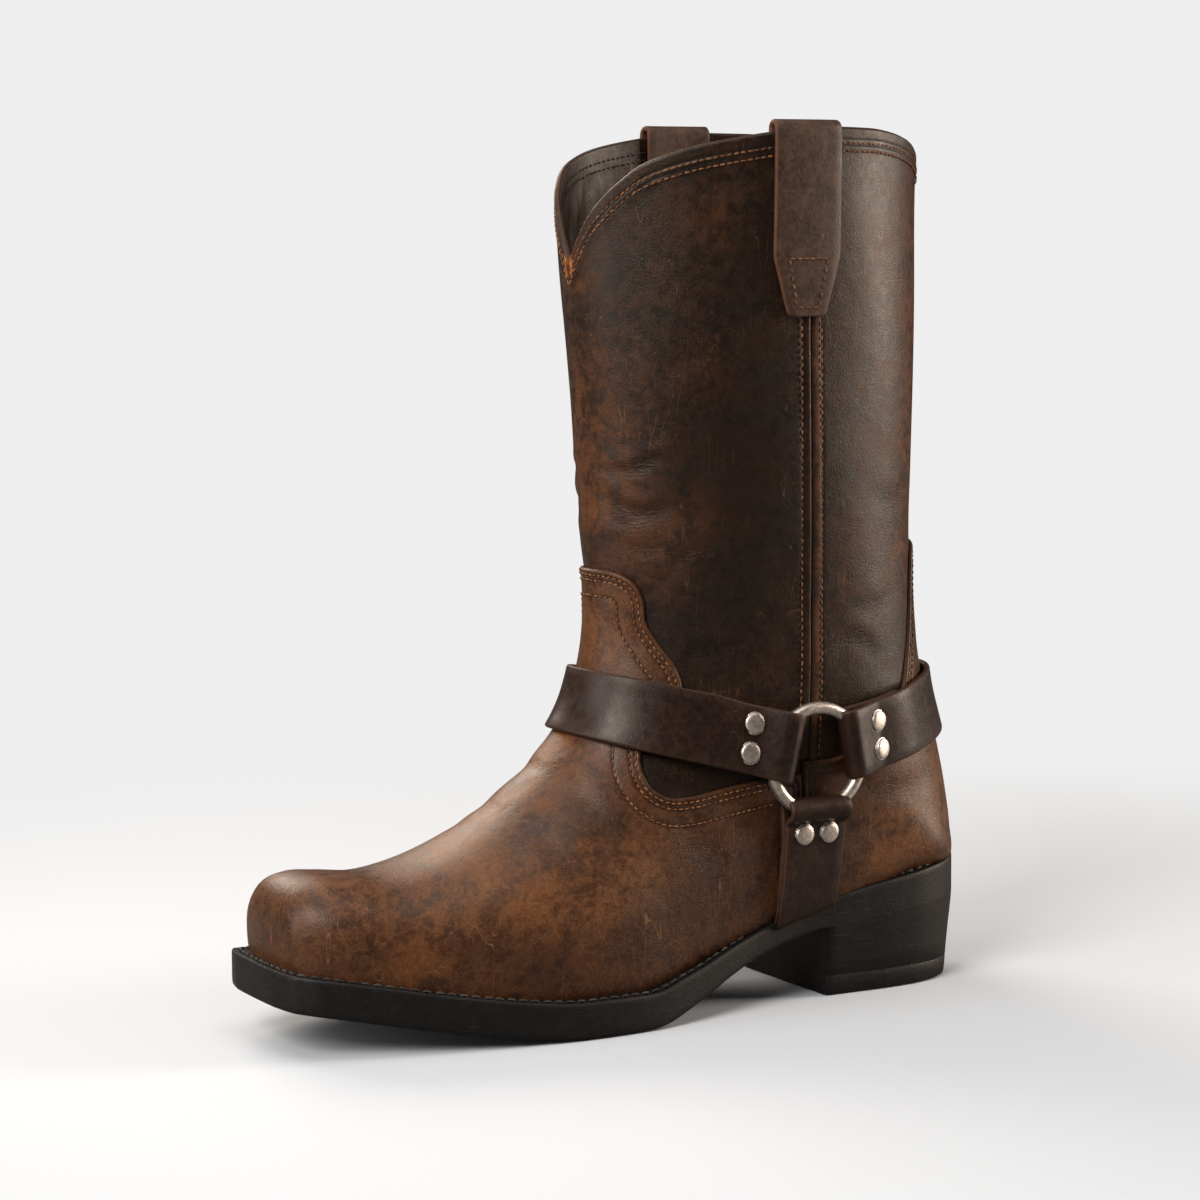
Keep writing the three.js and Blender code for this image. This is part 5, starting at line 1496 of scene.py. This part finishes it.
def noiseAt(tree, vector, scale, detail=4.0, rough=0.5, distort=0.0):
    node = addNode(tree, "ShaderNodeTexNoise", {
        "Vector": vector, "Scale": scale, "Detail": detail, "Roughness": rough, "Distortion": distort,
    })
    return node.outputs["Fac"]


def mathOf(tree, operation, a, b=0.0, c=None, clamp=False):
    inputs = {0: a, 1: b}
    if c is not None:
        inputs[2] = c
    return addNode(tree, "ShaderNodeMath", inputs, operation=operation, use_clamp=clamp).outputs[0]


def rangeOf(tree, value, low, high, toLow=0.0, toHigh=1.0):
    node = addNode(tree, "ShaderNodeMapRange", {
        "Value": value, "From Min": low, "From Max": high, "To Min": toLow, "To Max": toHigh,
    }, interpolation_type="SMOOTHSTEP")
    return node.outputs["Result"]


def blendOf(tree, factor, a, b, kind="MIX"):
    node = addNode(tree, "ShaderNodeMix", data_type="RGBA", blend_type=kind)
    for index, value in ((0, factor), (6, a), (7, b)):
        if isinstance(value, bpy.types.NodeSocket):
            tree.links.new(value, node.inputs[index])
        else:
            node.inputs[index].default_value = value
    return node.outputs[2]


def valueOf(tree, name):
    return addNode(tree, "ShaderNodeAttribute", attribute_name=name, attribute_type="GEOMETRY").outputs["Fac"]


def grainGroup():  # fine pores and soft unevenness
    group, start, end = newGroup(
        "leatherGrain", [("Size", "NodeSocketFloat", 1.0)], [("Height", "NodeSocketFloat"), ("Pores", "NodeSocketFloat")]
    )
    place = millimetres(group)
    place = addNode(group, "ShaderNodeVectorMath", {0: place, 1: start.outputs["Size"]}, operation="DIVIDE").outputs[0]
    bent = addNode(group, "ShaderNodeTexNoise", {"Vector": place, "Scale": 0.5, "Detail": 3.0, "Roughness": 0.6})
    moved = addNode(
        group, "ShaderNodeVectorMath", {0: bent.outputs["Color"], 1: (1.6, 1.6, 1.6), 2: place}, operation="MULTIPLY_ADD"
    )
    pebble = addNode(group, "ShaderNodeTexVoronoi", {"Vector": moved.outputs[0], "Scale": 1.0}, feature="F1")
    cells = mathOf(group, "SUBTRACT", 0.8, pebble.outputs["Distance"])
    height = mathOf(group, "MULTIPLY_ADD", cells, 0.6, bent.outputs["Fac"])
    soft = noiseAt(group, millimetres(group), 0.075, 2.0, 0.5, 0.3)
    group.links.new(height, end.inputs["Pores"])
    group.links.new(mathOf(group, "MULTIPLY_ADD", soft, 3.5, height), end.inputs["Height"])
    return group


def mottleGroup():
    group, start, end = newGroup(
        "mottle", [("Size", "NodeSocketFloat", 1.0)], [("Patch", "NodeSocketFloat"), ("Fine", "NodeSocketFloat")]
    )
    place = millimetres(group)
    place = addNode(group, "ShaderNodeVectorMath", {0: place, 1: start.outputs["Size"]}, operation="DIVIDE").outputs[0]
    patch = noiseAt(group, place, 0.045, 6.0, 0.62, 1.1)
    fine = noiseAt(group, place, 0.22, 4.0, 0.58, 0.6)
    group.links.new(rangeOf(group, patch, 0.36, 0.64), end.inputs["Patch"])
    group.links.new(rangeOf(group, fine, 0.3, 0.7), end.inputs["Fine"])
    return group


def scratchGroup():  # long thin lines, broken up, in three directions
    group, start, end = newGroup(
        "scratches", [("Amount", "NodeSocketFloat", 0.5)],
        [("Factor", "NodeSocketFloat"), ("Dense", "NodeSocketFloat"), ("Veins", "NodeSocketFloat")]
    )
    place = millimetres(group)
    where = noiseAt(group, place, 0.06, 2.0)
    found = None
    for turn, size, width, low in (
        ((0.35, 0.2, 0.5), (0.16, 0.16, 0.012), 0.0045, 0.5), ((1.0, 0.5, -0.7), (0.014, 0.2, 0.2), 0.005, 0.56),
        ((0.3, -1.1, 0.9), (0.3, 0.05, 0.3), 0.008, 0.6),
    ):
        laid = addNode(group, "ShaderNodeMapping", {"Vector": place, "Rotation": turn, "Scale": size})
        wave = addNode(group, "ShaderNodeTexNoise", {"Vector": laid.outputs[0], "Scale": 1.0, "Detail": 0.0})
        away = mathOf(group, "ABSOLUTE", mathOf(group, "SUBTRACT", wave.outputs["Fac"], 0.5))
        line = rangeOf(group, away, width * 0.35, width, 1.0, 0.0)
        line = mathOf(group, "MULTIPLY", line, rangeOf(group, where, low, low + 0.1))
        found = line if found is None else mathOf(group, "MAXIMUM", found, line)
    group.links.new(mathOf(group, "MULTIPLY", found, start.outputs["Amount"]), end.inputs["Factor"])
    dense = None
    for turn, size in (((0.5, 0.3, 0.9), (0.5, 0.5, 0.06)), ((-0.4, 0.9, 0.2), (0.07, 0.5, 0.5))):
        laid = addNode(group, "ShaderNodeMapping", {"Vector": place, "Rotation": turn, "Scale": size})
        wave = addNode(group, "ShaderNodeTexNoise", {"Vector": laid.outputs[0], "Scale": 1.0, "Detail": 1.0})
        away = mathOf(group, "ABSOLUTE", mathOf(group, "SUBTRACT", wave.outputs["Fac"], 0.5))
        line = rangeOf(group, away, 0.006, 0.02, 1.0, 0.0)
        dense = line if dense is None else mathOf(group, "MAXIMUM", dense, line)
    group.links.new(dense, end.inputs["Dense"])
    vein = noiseAt(group, place, 0.11, 4.0, 0.6, 1.6)
    vein = mathOf(group, "ABSOLUTE", mathOf(group, "SUBTRACT", vein, 0.5))
    group.links.new(rangeOf(group, vein, 0.0, 0.05, 1.0, 0.0), end.inputs["Veins"])
    return group


def scuffGroup():
    group, start, end = newGroup("rubberScuffs", [], [("Scuff", "NodeSocketFloat"), ("Height", "NodeSocketFloat")])
    place = millimetres(group)
    long = addNode(group, "ShaderNodeMapping", {"Vector": place, "Scale": (0.2, 0.09, 3.2)})
    streak = noiseAt(group, long.outputs[0], 0.9, 6.0, 0.7, 0.3)
    where = noiseAt(group, place, 0.05, 4.0, 0.6)
    scuff = mathOf(group, "MULTIPLY", rangeOf(group, streak, 0.57, 0.72), rangeOf(group, where, 0.38, 0.62))
    height = mathOf(group, "ADD", mathOf(group, "MULTIPLY", streak, 0.25), noiseAt(group, place, 1.1, 4.0, 0.6))
    group.links.new(scuff, end.inputs["Scuff"])
    group.links.new(height, end.inputs["Height"])
    return group


groups = {"grain": grainGroup(), "mottle": mottleGroup(), "scratches": scratchGroup(), "scuffs": scuffGroup()}


def groupNode(tree, key, **inputs):
    node = addNode(tree, "ShaderNodeGroup", node_tree=groups[key])
    for name, value in inputs.items():
        node.inputs[name].default_value = value
    return node


def newMaterial(name, constants):
    material = bpy.data.materials.new(name)
    material.use_nodes = True
    tree = material.node_tree
    shader = tree.nodes["Principled BSDF"]
    for key, value in constants.items():
        shader.inputs[key].default_value = value
    return material, tree, shader


leatherLooks = {
    "shaftLeather": {
        "deep": (20, 13, 10), "mid": (49, 32, 22), "golden": (101, 60, 31), "dark": (18, 13, 11),
        "worn": (128, 88, 58), "raw": (66, 41, 25), "rough": (0.36, 0.52), "grain": 0.13, "size": 0.55,
        "scratch": 0.5, "mottle": 1.0, "veins": 0.16,
    },
    "footLeather": {
        "deep": (49, 28, 18), "mid": (89, 55, 32), "golden": (127, 82, 46), "dark": (29, 18, 15),
        "worn": (168, 116, 76), "raw": (66, 41, 25), "rough": (0.34, 0.5), "grain": 0.13, "size": 0.55,
        "scratch": 0.4, "mottle": 0.9, "veins": 0.3,
    },
    "strapLeather": {
        "deep": (26, 16, 14), "mid": (50, 33, 27), "golden": (84, 50, 32), "dark": (19, 13, 12),
        "worn": (118, 86, 66), "raw": (62, 40, 28), "rough": (0.3, 0.44), "grain": 0.07, "size": 0.5,
        "scratch": 0.3, "mottle": 0.7, "veins": 0.06,
    },
    "pullLeather": {
        "deep": (51, 36, 29), "mid": (86, 65, 54), "golden": (104, 70, 48), "dark": (34, 25, 21),
        "worn": (136, 100, 78), "raw": (86, 54, 36), "rough": (0.38, 0.54), "grain": 0.1, "size": 0.5,
        "scratch": 0.35, "mottle": 0.6, "veins": 0.0,
    },
}


def makeLeather(name):
    look = leatherLooks[name]
    material, tree, shader = newMaterial(name, {
        "IOR": 1.45, "Coat Roughness": 0.34, "Coat IOR": 1.45, "Specular IOR Level": 0.28,
    })
    mottle = groupNode(tree, "mottle", Size=look["mottle"])
    patch, fine = mottle.outputs["Patch"], mottle.outputs["Fine"]
    tone = mathOf(tree, "MULTIPLY_ADD", fine, 0.45, mathOf(tree, "MULTIPLY", patch, 0.55))
    color = blendOf(tree, tone, linear(*look["deep"]), linear(*look["mid"]))
    broken = rangeOf(tree, mathOf(tree, "MULTIPLY_ADD", fine, 0.5, mathOf(tree, "MULTIPLY", patch, 0.5)), 0.2, 0.75)
    scratches = groupNode(tree, "scratches", Amount=look["scratch"])
    # golden wear; on the back panel and counter this also paints a sheen
    golden = mathOf(tree, "MULTIPLY", valueOf(tree, "golden"), mathOf(tree, "MULTIPLY_ADD", broken, 0.75, 0.25))
    veined = mathOf(tree, "MULTIPLY_ADD", scratches.outputs["Veins"], look["veins"], golden, clamp=True)
    color = blendOf(tree, mathOf(tree, "MULTIPLY", veined, 0.9), color, linear(*look["golden"]))
    # darker patches; in the seam groove and inside the rings this paints shade
    dark = mathOf(tree, "MULTIPLY", valueOf(tree, "dark"), mathOf(tree, "MULTIPLY_ADD", fine, 0.5, 0.5))
    color = blendOf(tree, mathOf(tree, "MULTIPLY", dark, 0.72), color, linear(*look["dark"]))
    rubbed = mathOf(tree, "MULTIPLY", scratches.outputs["Dense"], valueOf(tree, "worn"))
    scratch = mathOf(tree, "MULTIPLY_ADD", mathOf(tree, "MULTIPLY", rubbed, broken), 0.32, scratches.outputs["Factor"])
    color = blendOf(tree, scratch, color, linear(*look["worn"]))
    grain = groupNode(tree, "grain", Size=look["size"])
    color = blendOf(tree, rangeOf(tree, grain.outputs["Pores"], 0.95, 0.55, 0.0, 0.3), color, linear(*look["dark"]))
    # painted shade along the stitch rows
    stitchRowShade = mathOf(tree, "MULTIPLY", valueOf(tree, "stitchShade"), 0.5)
    color = blendOf(tree, stitchRowShade, color, linear(*look["dark"]))
    # painted shade in the creases
    creaseShade = mathOf(tree, "MULTIPLY", valueOf(tree, "crease"), mathOf(tree, "MULTIPLY_ADD", fine, 0.3, 0.25))
    color = blendOf(tree, creaseShade, color, linear(*look["dark"]))
    raw = mathOf(tree, "MULTIPLY", valueOf(tree, "cutEdge"), mathOf(tree, "MULTIPLY_ADD", fine, 0.5, 0.4))
    color = blendOf(tree, raw, color, linear(*look["raw"]))
    tree.links.new(color, shader.inputs["Base Color"])
    low, high = look["rough"]
    rough = mathOf(tree, "MULTIPLY_ADD", fine, high - low, low)
    rough = mathOf(tree, "MULTIPLY_ADD", scratch, 0.25, rough, clamp=True)
    rough = mathOf(tree, "MULTIPLY_ADD", valueOf(tree, "cutEdge"), 0.3, rough, clamp=True)
    tree.links.new(rough, shader.inputs["Roughness"])
    tree.links.new(mathOf(tree, "MULTIPLY_ADD", patch, -0.1, 0.2), shader.inputs["Coat Weight"])
    lines = addNode(tree, "ShaderNodeMapping", {"Vector": millimetres(tree), "Scale": (0.16, 0.16, 0.9)})
    fold = mathOf(tree, "ABSOLUTE", mathOf(tree, "SUBTRACT", noiseAt(tree, lines.outputs[0], 1.0, 2.0, 0.5, 0.6), 0.5))
    fold = mathOf(tree, "MULTIPLY", mathOf(tree, "MULTIPLY", fold, valueOf(tree, "crease")), 8.0)
    height = mathOf(tree, "ADD", grain.outputs["Height"], fold)
    bump = addNode(tree, "ShaderNodeBump", {"Strength": 1.0, "Distance": look["grain"] * mm, "Height": height})
    tree.links.new(bump.outputs["Normal"], shader.inputs["Normal"])
    return material


def makeLining():
    material, tree, shader = newMaterial("lining", {"IOR": 1.45, "Specular IOR Level": 0.65})
    mottle = groupNode(tree, "mottle", Size=0.6)
    color = blendOf(tree, mottle.outputs["Fine"], linear(6, 6, 7), linear(15, 15, 16))
    tree.links.new(color, shader.inputs["Base Color"])
    tree.links.new(mathOf(tree, "MULTIPLY_ADD", mottle.outputs["Fine"], 0.12, 0.3), shader.inputs["Roughness"])
    tall = addNode(tree, "ShaderNodeMapping", {"Vector": millimetres(tree), "Scale": (0.42, 0.42, 0.1)})
    gathers = noiseAt(tree, tall.outputs[0], 1.0, 4.0, 0.55, 0.8)
    bump = addNode(tree, "ShaderNodeBump", {"Strength": 1.0, "Distance": 3.0 * mm, "Height": gathers})
    tree.links.new(bump.outputs["Normal"], shader.inputs["Normal"])
    return material


def makeRubber():
    material, tree, shader = newMaterial("blackRubber", {"IOR": 1.5, "Specular IOR Level": 0.28})
    scuffs = groupNode(tree, "scuffs")
    mottle = groupNode(tree, "mottle", Size=0.8)
    color = blendOf(tree, mottle.outputs["Fine"], linear(9, 9, 10), linear(19, 19, 21))
    color = blendOf(tree, mathOf(tree, "MULTIPLY", scuffs.outputs["Scuff"], 0.5), color, linear(96, 95, 97))
    tree.links.new(color, shader.inputs["Base Color"])
    rough = mathOf(tree, "MULTIPLY_ADD", scuffs.outputs["Scuff"], 0.2, 0.5)
    tree.links.new(rough, shader.inputs["Roughness"])
    bump = addNode(tree, "ShaderNodeBump", {"Strength": 1.0, "Distance": 0.14 * mm, "Height": scuffs.outputs["Height"]})
    tree.links.new(bump.outputs["Normal"], shader.inputs["Normal"])
    return material


def makeSteel():
    material, tree, shader = newMaterial("satinSteel", {"Metallic": 1.0, "IOR": 1.5})
    mottle = groupNode(tree, "mottle", Size=0.35)
    color = blendOf(tree, mottle.outputs["Fine"], linear(188, 181, 174), linear(218, 212, 205))
    tree.links.new(color, shader.inputs["Base Color"])
    tree.links.new(mathOf(tree, "MULTIPLY_ADD", mottle.outputs["Fine"], 0.08, 0.38), shader.inputs["Roughness"])
    bump = addNode(tree, "ShaderNodeBump", {"Strength": 0.4, "Distance": 0.02 * mm, "Height": mottle.outputs["Fine"]})
    tree.links.new(bump.outputs["Normal"], shader.inputs["Normal"])
    return material


def makeThread(name, pale, deep):
    material, tree, shader = newMaterial(name, {"IOR": 1.45, "Specular IOR Level": 0.2})
    place = millimetres(tree)
    twist = noiseAt(tree, place, 3.2, 3.0, 0.6)
    color = blendOf(tree, valueOf(tree, "tone"), linear(*deep), linear(*pale))
    color = blendOf(tree, mathOf(tree, "MULTIPLY", twist, 0.5), color, linear(*deep))
    tree.links.new(color, shader.inputs["Base Color"])
    tree.links.new(mathOf(tree, "MULTIPLY_ADD", twist, 0.2, 0.5), shader.inputs["Roughness"])
    bump = addNode(tree, "ShaderNodeBump", {"Strength": 0.8, "Distance": 0.08 * mm, "Height": twist})
    tree.links.new(bump.outputs["Normal"], shader.inputs["Normal"])
    return material


materials = {name: makeLeather(name) for name in leatherLooks}
materials["lining"] = makeLining()
materials["rubber"] = makeRubber()
materials["steel"] = makeSteel()
# a dark ring round each rivet head: pressed leather with painted shade
materials["pressedLeatherAndShade"] = makeThread("pressedLeatherAndShade", (22, 15, 13), (12, 9, 8))
materials["tanThread"] = makeThread("tanThread", (140, 98, 68), (86, 57, 39))
materials["orangeThread"] = makeThread("orangeThread", (196, 124, 58), (120, 70, 34))
materials["brownThread"] = makeThread("brownThread", (150, 104, 66), (84, 54, 36))
materials["greyThread"] = makeThread("greyThread", (74, 72, 72), (38, 38, 40))
materials["blackThread"] = makeThread("blackThread", (52, 50, 50), (24, 24, 26))
print("materials ready")

# the boot
wholeVamp = [(-50.9, -10)] + [tuple(p) for p in smoothPairs(vampEdge)] + [(-294, 175.8), (-294, -10)]
wholeCounter = [(-50.2, -10)] + [tuple(p) for p in smoothPairs(counterEdge)] + [(80, 181.6), (80, -10)]

upper = buildUpper()
dress(
    upper, [materials["shaftLeather"], materials["lining"], materials["shaftLeather"]],
    ["upper", "side_piping_outer", "side_piping_inner"],
)
print("upper", len(upper.data.polygons))


def downLine(y, top):  # the overlay's straight edge under the side strap
    return [(y, z) for z in np.arange(-2, top, 1.0)]


def outlineWith(edgeU, edgeV, y, top):
    lines = [onForm(edgeU, edgeV)]
    for side in (1, -1):
        pairs = np.array([(y, z) for z in np.linspace(12, top, 90)])
        lines.append(onForm(*fromSide(pairs[:, 0], pairs[:, 1], side)))
    return np.concatenate(lines)


def spread(first, last, count):
    return np.linspace(first, last, count)


vamp = buildOverlay(
    "vamp_leather", spread(-0.5, 0.5, 230), np.concatenate([rowAt[:12:2], spread(0, fromSide(-126, 178, 1)[1][0] + 3, 190)]),
    outlineWith(vampU, vampV, -50.9, 92.6), np.array(wholeVamp), overlayLook["vampRows"], ["foot"],
    ("footGolden", "footDark", "footWorn"),
)
dress(vamp, [materials["footLeather"]] * 3, "vamp")
print("vamp", len(vamp.data.polygons))

counter = buildOverlay(
    "counter_leather", spread(0.12, 0.88, 176), spread(fromSide(-50, 6, 1)[1][0] - 30, fromSide(18, 186, 1)[1][0] + 8, 170),
    outlineWith(counterU, counterV, -50.2, 97.5), np.array(wholeCounter), overlayLook["counterRows"], ["heel"],
    ("footGolden", "footDark", "footWorn"),
)
dress(counter, [materials["footLeather"]] * 3, "counter")
print("counter", len(counter.data.polygons))

buildWelt(materials["rubber"])
buildOutsole(materials["rubber"])
soleTop = lambda y: soleUnder(y) - 0.02
heelSolid("heel_block", [
    (2.52, lambda y: y * 0 + 7.98), (2.42, lambda y: y * 0 + 8.12), (1.75, lambda y: 8 + (soleUnder(y) - 8) * 0.3),
    (0.95, lambda y: 8 + (soleUnder(y) - 8) * 0.6), (0.25, lambda y: 8 + (soleUnder(y) - 8) * 0.85), (0.0, soleTop),
], materials["rubber"])
heelSolid("heel_top_lift", [
    (4.3, lambda y: y * 0), (3.4, lambda y: y * 0 + 0.15), (3.0, lambda y: y * 0 + 0.8), (2.55, lambda y: y * 0 + 5.0),
    (2.45, lambda y: y * 0 + 7.8), (2.52, lambda y: y * 0 + 7.96),
], materials["rubber"])
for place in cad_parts["insole"].material_slots:
    place.material = materials["lining"]
print("sole ready")

strapTops = {}
for key, flip in (("front", 1), ("rear", 1)):
    piece, middle, normal = buildStrap(
        f"harness_{key}_strap", roundStrapPath(key), flip, f"harness_{key}_strap", materials["strapLeather"]
    )
    strapTops[key, 1] = strapTops[key, -1] = (middle, normal)
for side, word in ((1, "outer"), (-1, "inner")):
    name = f"harness_side_strap_{word}"
    scales = {}
    piece, middle, normal = buildStrap(
        name, sideStrapPath(side, scales), side, name, materials["strapLeather"], scales
    )
    strapTops["side", side] = (middle, normal)
print("straps ready")


def topOf(key, side):
    middle, normal = strapTops[key, side]
    points = np.concatenate([(middle + normal * way * strapLook["thickness"] / 2).reshape(-1, 3) for way in (1, -1)])
    outs = np.concatenate([normal.reshape(-1, 3), -normal.reshape(-1, 3)])

    def nearest(skin, way):
        off = points - skin
        height = off @ way
        beside = np.linalg.norm(off - height[:, None] * way, axis=1)
        close = np.where(beside < 4.5)[0]
        best = close[np.argmax(height[close])]
        top = close[height[close] > height[best] - 1.6]
        out = outs[top].mean(0)
        out /= np.linalg.norm(out)
        if out @ way < 0:
            out = -out
        return skin + way * (height[top].mean() + 0.05), out

    return nearest


for side, word in ((1, "outer"), (-1, "inner")):
    buildRing(f"harness_ring_{word}", side, materials["steel"])
    for key in ("front", "rear", "side"):
        for number, share in ((1, -0.5), (2, 0.5)):
            buildRivet(f"rivet_{key}_{word}_{number}", side, key, share, topOf(key, side), materials["steel"])
    buildPull(f"pull_strap_{word}", side, materials["pullLeather"])
print("rings, rivets and pull straps ready")

# stitching
sewing = {"collarPitch": 2.8, "vampPitch": 2.6, "weltPitch": 4.8}
collarRows = []
for distance in upperLook["collarRows"]:
    u, v = np.linspace(0.5, -0.5, 900), np.full(900, topPlace)
    u, v = slide(u, v, np.tile([0.0, 0.0, -1.0], (900, 1)), distance)
    collarRows.append(rowOnForm(u, v, 0.3, sewing["collarPitch"], 2.5, 0.85, 0.6))
stitchPiece("collar_stitches", collarRows, materials["tanThread"])
liningRows = []
for points, normals, pitch, length, width, height in collarRows:
    liningRows.append((points - normals * (boot["wallThickness"] + 0.34), -normals, pitch, length, width, height))
stitchPiece("lining_stitches", liningRows, materials["blackThread"])
tackRows = []
for k in range(9):  # the zigzag tack under the front dip
    u = np.linspace(-0.0095, 0.0095, 12) * (1 if k % 2 else -1)
    tackRows.append(rowOnForm(u, np.linspace(topPlace - 2.0 - k * 1.2, topPlace - 3.2 - k * 1.2, 12), 0.15, 5.2, 5.0, 0.8, 0.6))
stitchPiece("tack_stitches", tackRows, materials["orangeThread"])

overTop = boot["gap"] + boot["overlayThickness"]
rows = []
for distance in overlayLook["vampRows"]:
    u, v = besideLine(vampU, vampV, distance)
    keep = (onForm(u, v)[:, 1] < -64) & (distanceTo(onForm(vampU, vampV), onForm(u, v))[0] > distance * 0.93)
    rows.append(rowOnForm(u[keep], v[keep], overTop + 0.12, sewing["vampPitch"], 2.1, 0.8, 0.6))
stitchPiece("vamp_stitches", rows, materials["brownThread"])
rows = []
for distance in overlayLook["counterRows"]:
    u, v = besideLine(counterU, counterV, -distance)
    at = onForm(u, v)
    keep = (at[:, 1] > -30) & (distanceTo(onForm(counterU, counterV), at)[0] > distance * 0.93)
    thin = overlayLook["tabThinning"] * overlayLook["thickness"] * np.clip((at[keep, 2] - 118) / 20, 0, 1)
    rows.append(rowOnForm(u[keep], v[keep], overTop + 0.1 - thin, sewing["vampPitch"], 2.1, 0.8, 0.6))
stitchPiece("counter_stitches", rows, materials["brownThread"])

rows = []
for side in (1, -1):
    u, v = seamUV[side]
    for way in (1, -1):
        a, b = besideLine(u, v, way * upperLook["stitchFromGroove"])
        keep = onForm(a, b)[:, 2] < 298
        rows.append(rowOnForm(a[keep], b[keep], 0.05, 2.9, 2.3, 0.75, 0.6))
stitchPiece("side_seam_stitches", rows, materials["tanThread"])

loop = soleLoop(soleLook["grooveAt"])
loop = np.roll(loop, -len(loop) // 2, 0)
line = np.column_stack([loop, seatHeight(loop[:, 1]) + 0.35])
line = np.concatenate([line, line[:1]])
flatUp = np.tile([0.0, 0.0, 1.0], (len(line), 1))
stitchPiece(
    "welt_stitches", [(line, flatUp, sewing["weltPitch"], 3.9, 1.5, 1.0)], materials["greyThread"]
)

rows = []
for side in (1, -1):
    low = boot["bootHeight"] - pullLook["length"]
    corners = [(-5.0, low + 3.6), (5.0, low + 3.6), (8.6, low + 22.4), (-8.6, low + 22.4), (-5.0, low + 3.6)]
    for a, b in zip(corners, corners[1:]):
        y = np.linspace(a[0], b[0], 30) + pullLook["middleY"]
        z = np.linspace(a[1], b[1], 30)
        u, v = fromSide(y, z, side)
        rows.append(rowOnForm(u, v, boot["gap"] + pullLook["thickness"] + 0.06, 2.9, 2.4, 0.85, 0.65))
stitchPiece("pull_stitches", rows, materials["tanThread"])
print("stitching ready")

# floor, light, camera
studio = {
    "floor": (0.555, 0.617, 0.694), "floorBounce": 0.17, "backdrop": 0.86, "fill": 0.05,
    "top": (20.0, (1.0, 0.93, 0.86)), "key": (31.0, (1.0, 0.9, 0.8)), "side": (27.0, (1.0, 0.83, 0.68)),
    "back": (20.0, (1.0, 0.84, 0.7)), "front": (8.0, (1.0, 0.92, 0.85)),
    "cameraPlace": (1.1740, -0.7663, 0.3106), "target": (0.0, -0.1209, 0.1627), "lens": 101.87, "roll": -0.23,
}
bpy.context.scene.view_settings.view_transform = "Standard"
deselectAll()
bpy.ops.mesh.primitive_plane_add(size=60, location=(0, 0, -0.0005))
floor = bpy.context.object
floor.name = "studio_floor"
floorMaterial, floorTree, floorShader = newMaterial("studioFloor", {"Roughness": 0.6, "Specular IOR Level": 0.25})
onlySeen = addNode(floorTree, "ShaderNodeLightPath").outputs["Is Camera Ray"]
pale = blendOf(floorTree, onlySeen, (studio["floorBounce"],) * 3 + (1,), studio["floor"] + (1,))
floorTree.links.new(pale, floorShader.inputs["Base Color"])
away = addNode(floorTree, "ShaderNodeVectorMath", {0: millimetres(floorTree)}, operation="LENGTH").outputs["Value"]
glow = addNode(floorTree, "ShaderNodeEmission", {"Color": (studio["backdrop"],) * 3 + (1,), "Strength": 1.0})
share = mathOf(floorTree, "MULTIPLY", rangeOf(floorTree, away, 230.0, 640.0), onlySeen)
fade = addNode(floorTree, "ShaderNodeMixShader", {0: share, 2: glow.outputs[0]})
floorTree.links.new(floorShader.outputs[0], fade.inputs[1])
floorTree.links.new(fade.outputs[0], floorTree.nodes["Material Output"].inputs["Surface"])
floor.data.materials.append(floorMaterial)

world = bpy.data.worlds.new("studioWorld")
bpy.context.scene.world = world
world.use_nodes = True
backdrop = world.node_tree.nodes["Background"]
backdrop.inputs["Color"].default_value = (1, 1, 1, 1)
seen = addNode(world.node_tree, "ShaderNodeLightPath").outputs["Is Camera Ray"]
level = rangeOf(world.node_tree, seen, 0.0, 1.0, studio["fill"], studio["backdrop"])
world.node_tree.links.new(level, backdrop.inputs["Strength"])


def addLamp(key, place, size):
    bpy.ops.object.light_add(type="AREA", location=place)
    lamp = bpy.context.object
    lamp.name = key + "Lamp"
    lamp.data.shape = "RECTANGLE"
    lamp.data.size, lamp.data.size_y = size
    lamp.data.energy, lamp.data.color = studio[key]
    way = Vector(place) - Vector((0, -0.1, 0.16))
    lamp.rotation_mode = "QUATERNION"
    lamp.rotation_quaternion = way.to_track_quat("Z", "Y")
    return lamp


addLamp("top", (0.1, -0.2, 2.0), (1.8, 1.8))
addLamp("key", (0.7, -1.35, 1.1), (0.8, 0.8))
addLamp("side", (0.52, 1.4, 0.55), (0.55, 1.0))
addLamp("back", (-1.35, -0.3, 1.0), (1.1, 0.8))
addLamp("front", (-0.15, -1.7, 0.5), (0.45, 0.7))

place, target = Vector(studio["cameraPlace"]), Vector(studio["target"])
back = (place - target).normalized()
right = Vector((0, 0, 1)).cross(back).normalized()
up = back.cross(right)
roll = math.radians(studio["roll"])
rightNow = right * math.cos(roll) + up * math.sin(roll)
upNow = up * math.cos(roll) - right * math.sin(roll)
bpy.ops.object.camera_add(location=place)
camera = bpy.context.object
camera.rotation_mode = "QUATERNION"
camera.rotation_quaternion = Matrix((rightNow, upNow, back)).transposed().to_quaternion()
camera.data.sensor_width = 36.0
camera.data.sensor_fit = "HORIZONTAL"
camera.data.lens = studio["lens"]
camera.data.clip_end = 100
bpy.context.scene.camera = camera
print("studio ready")
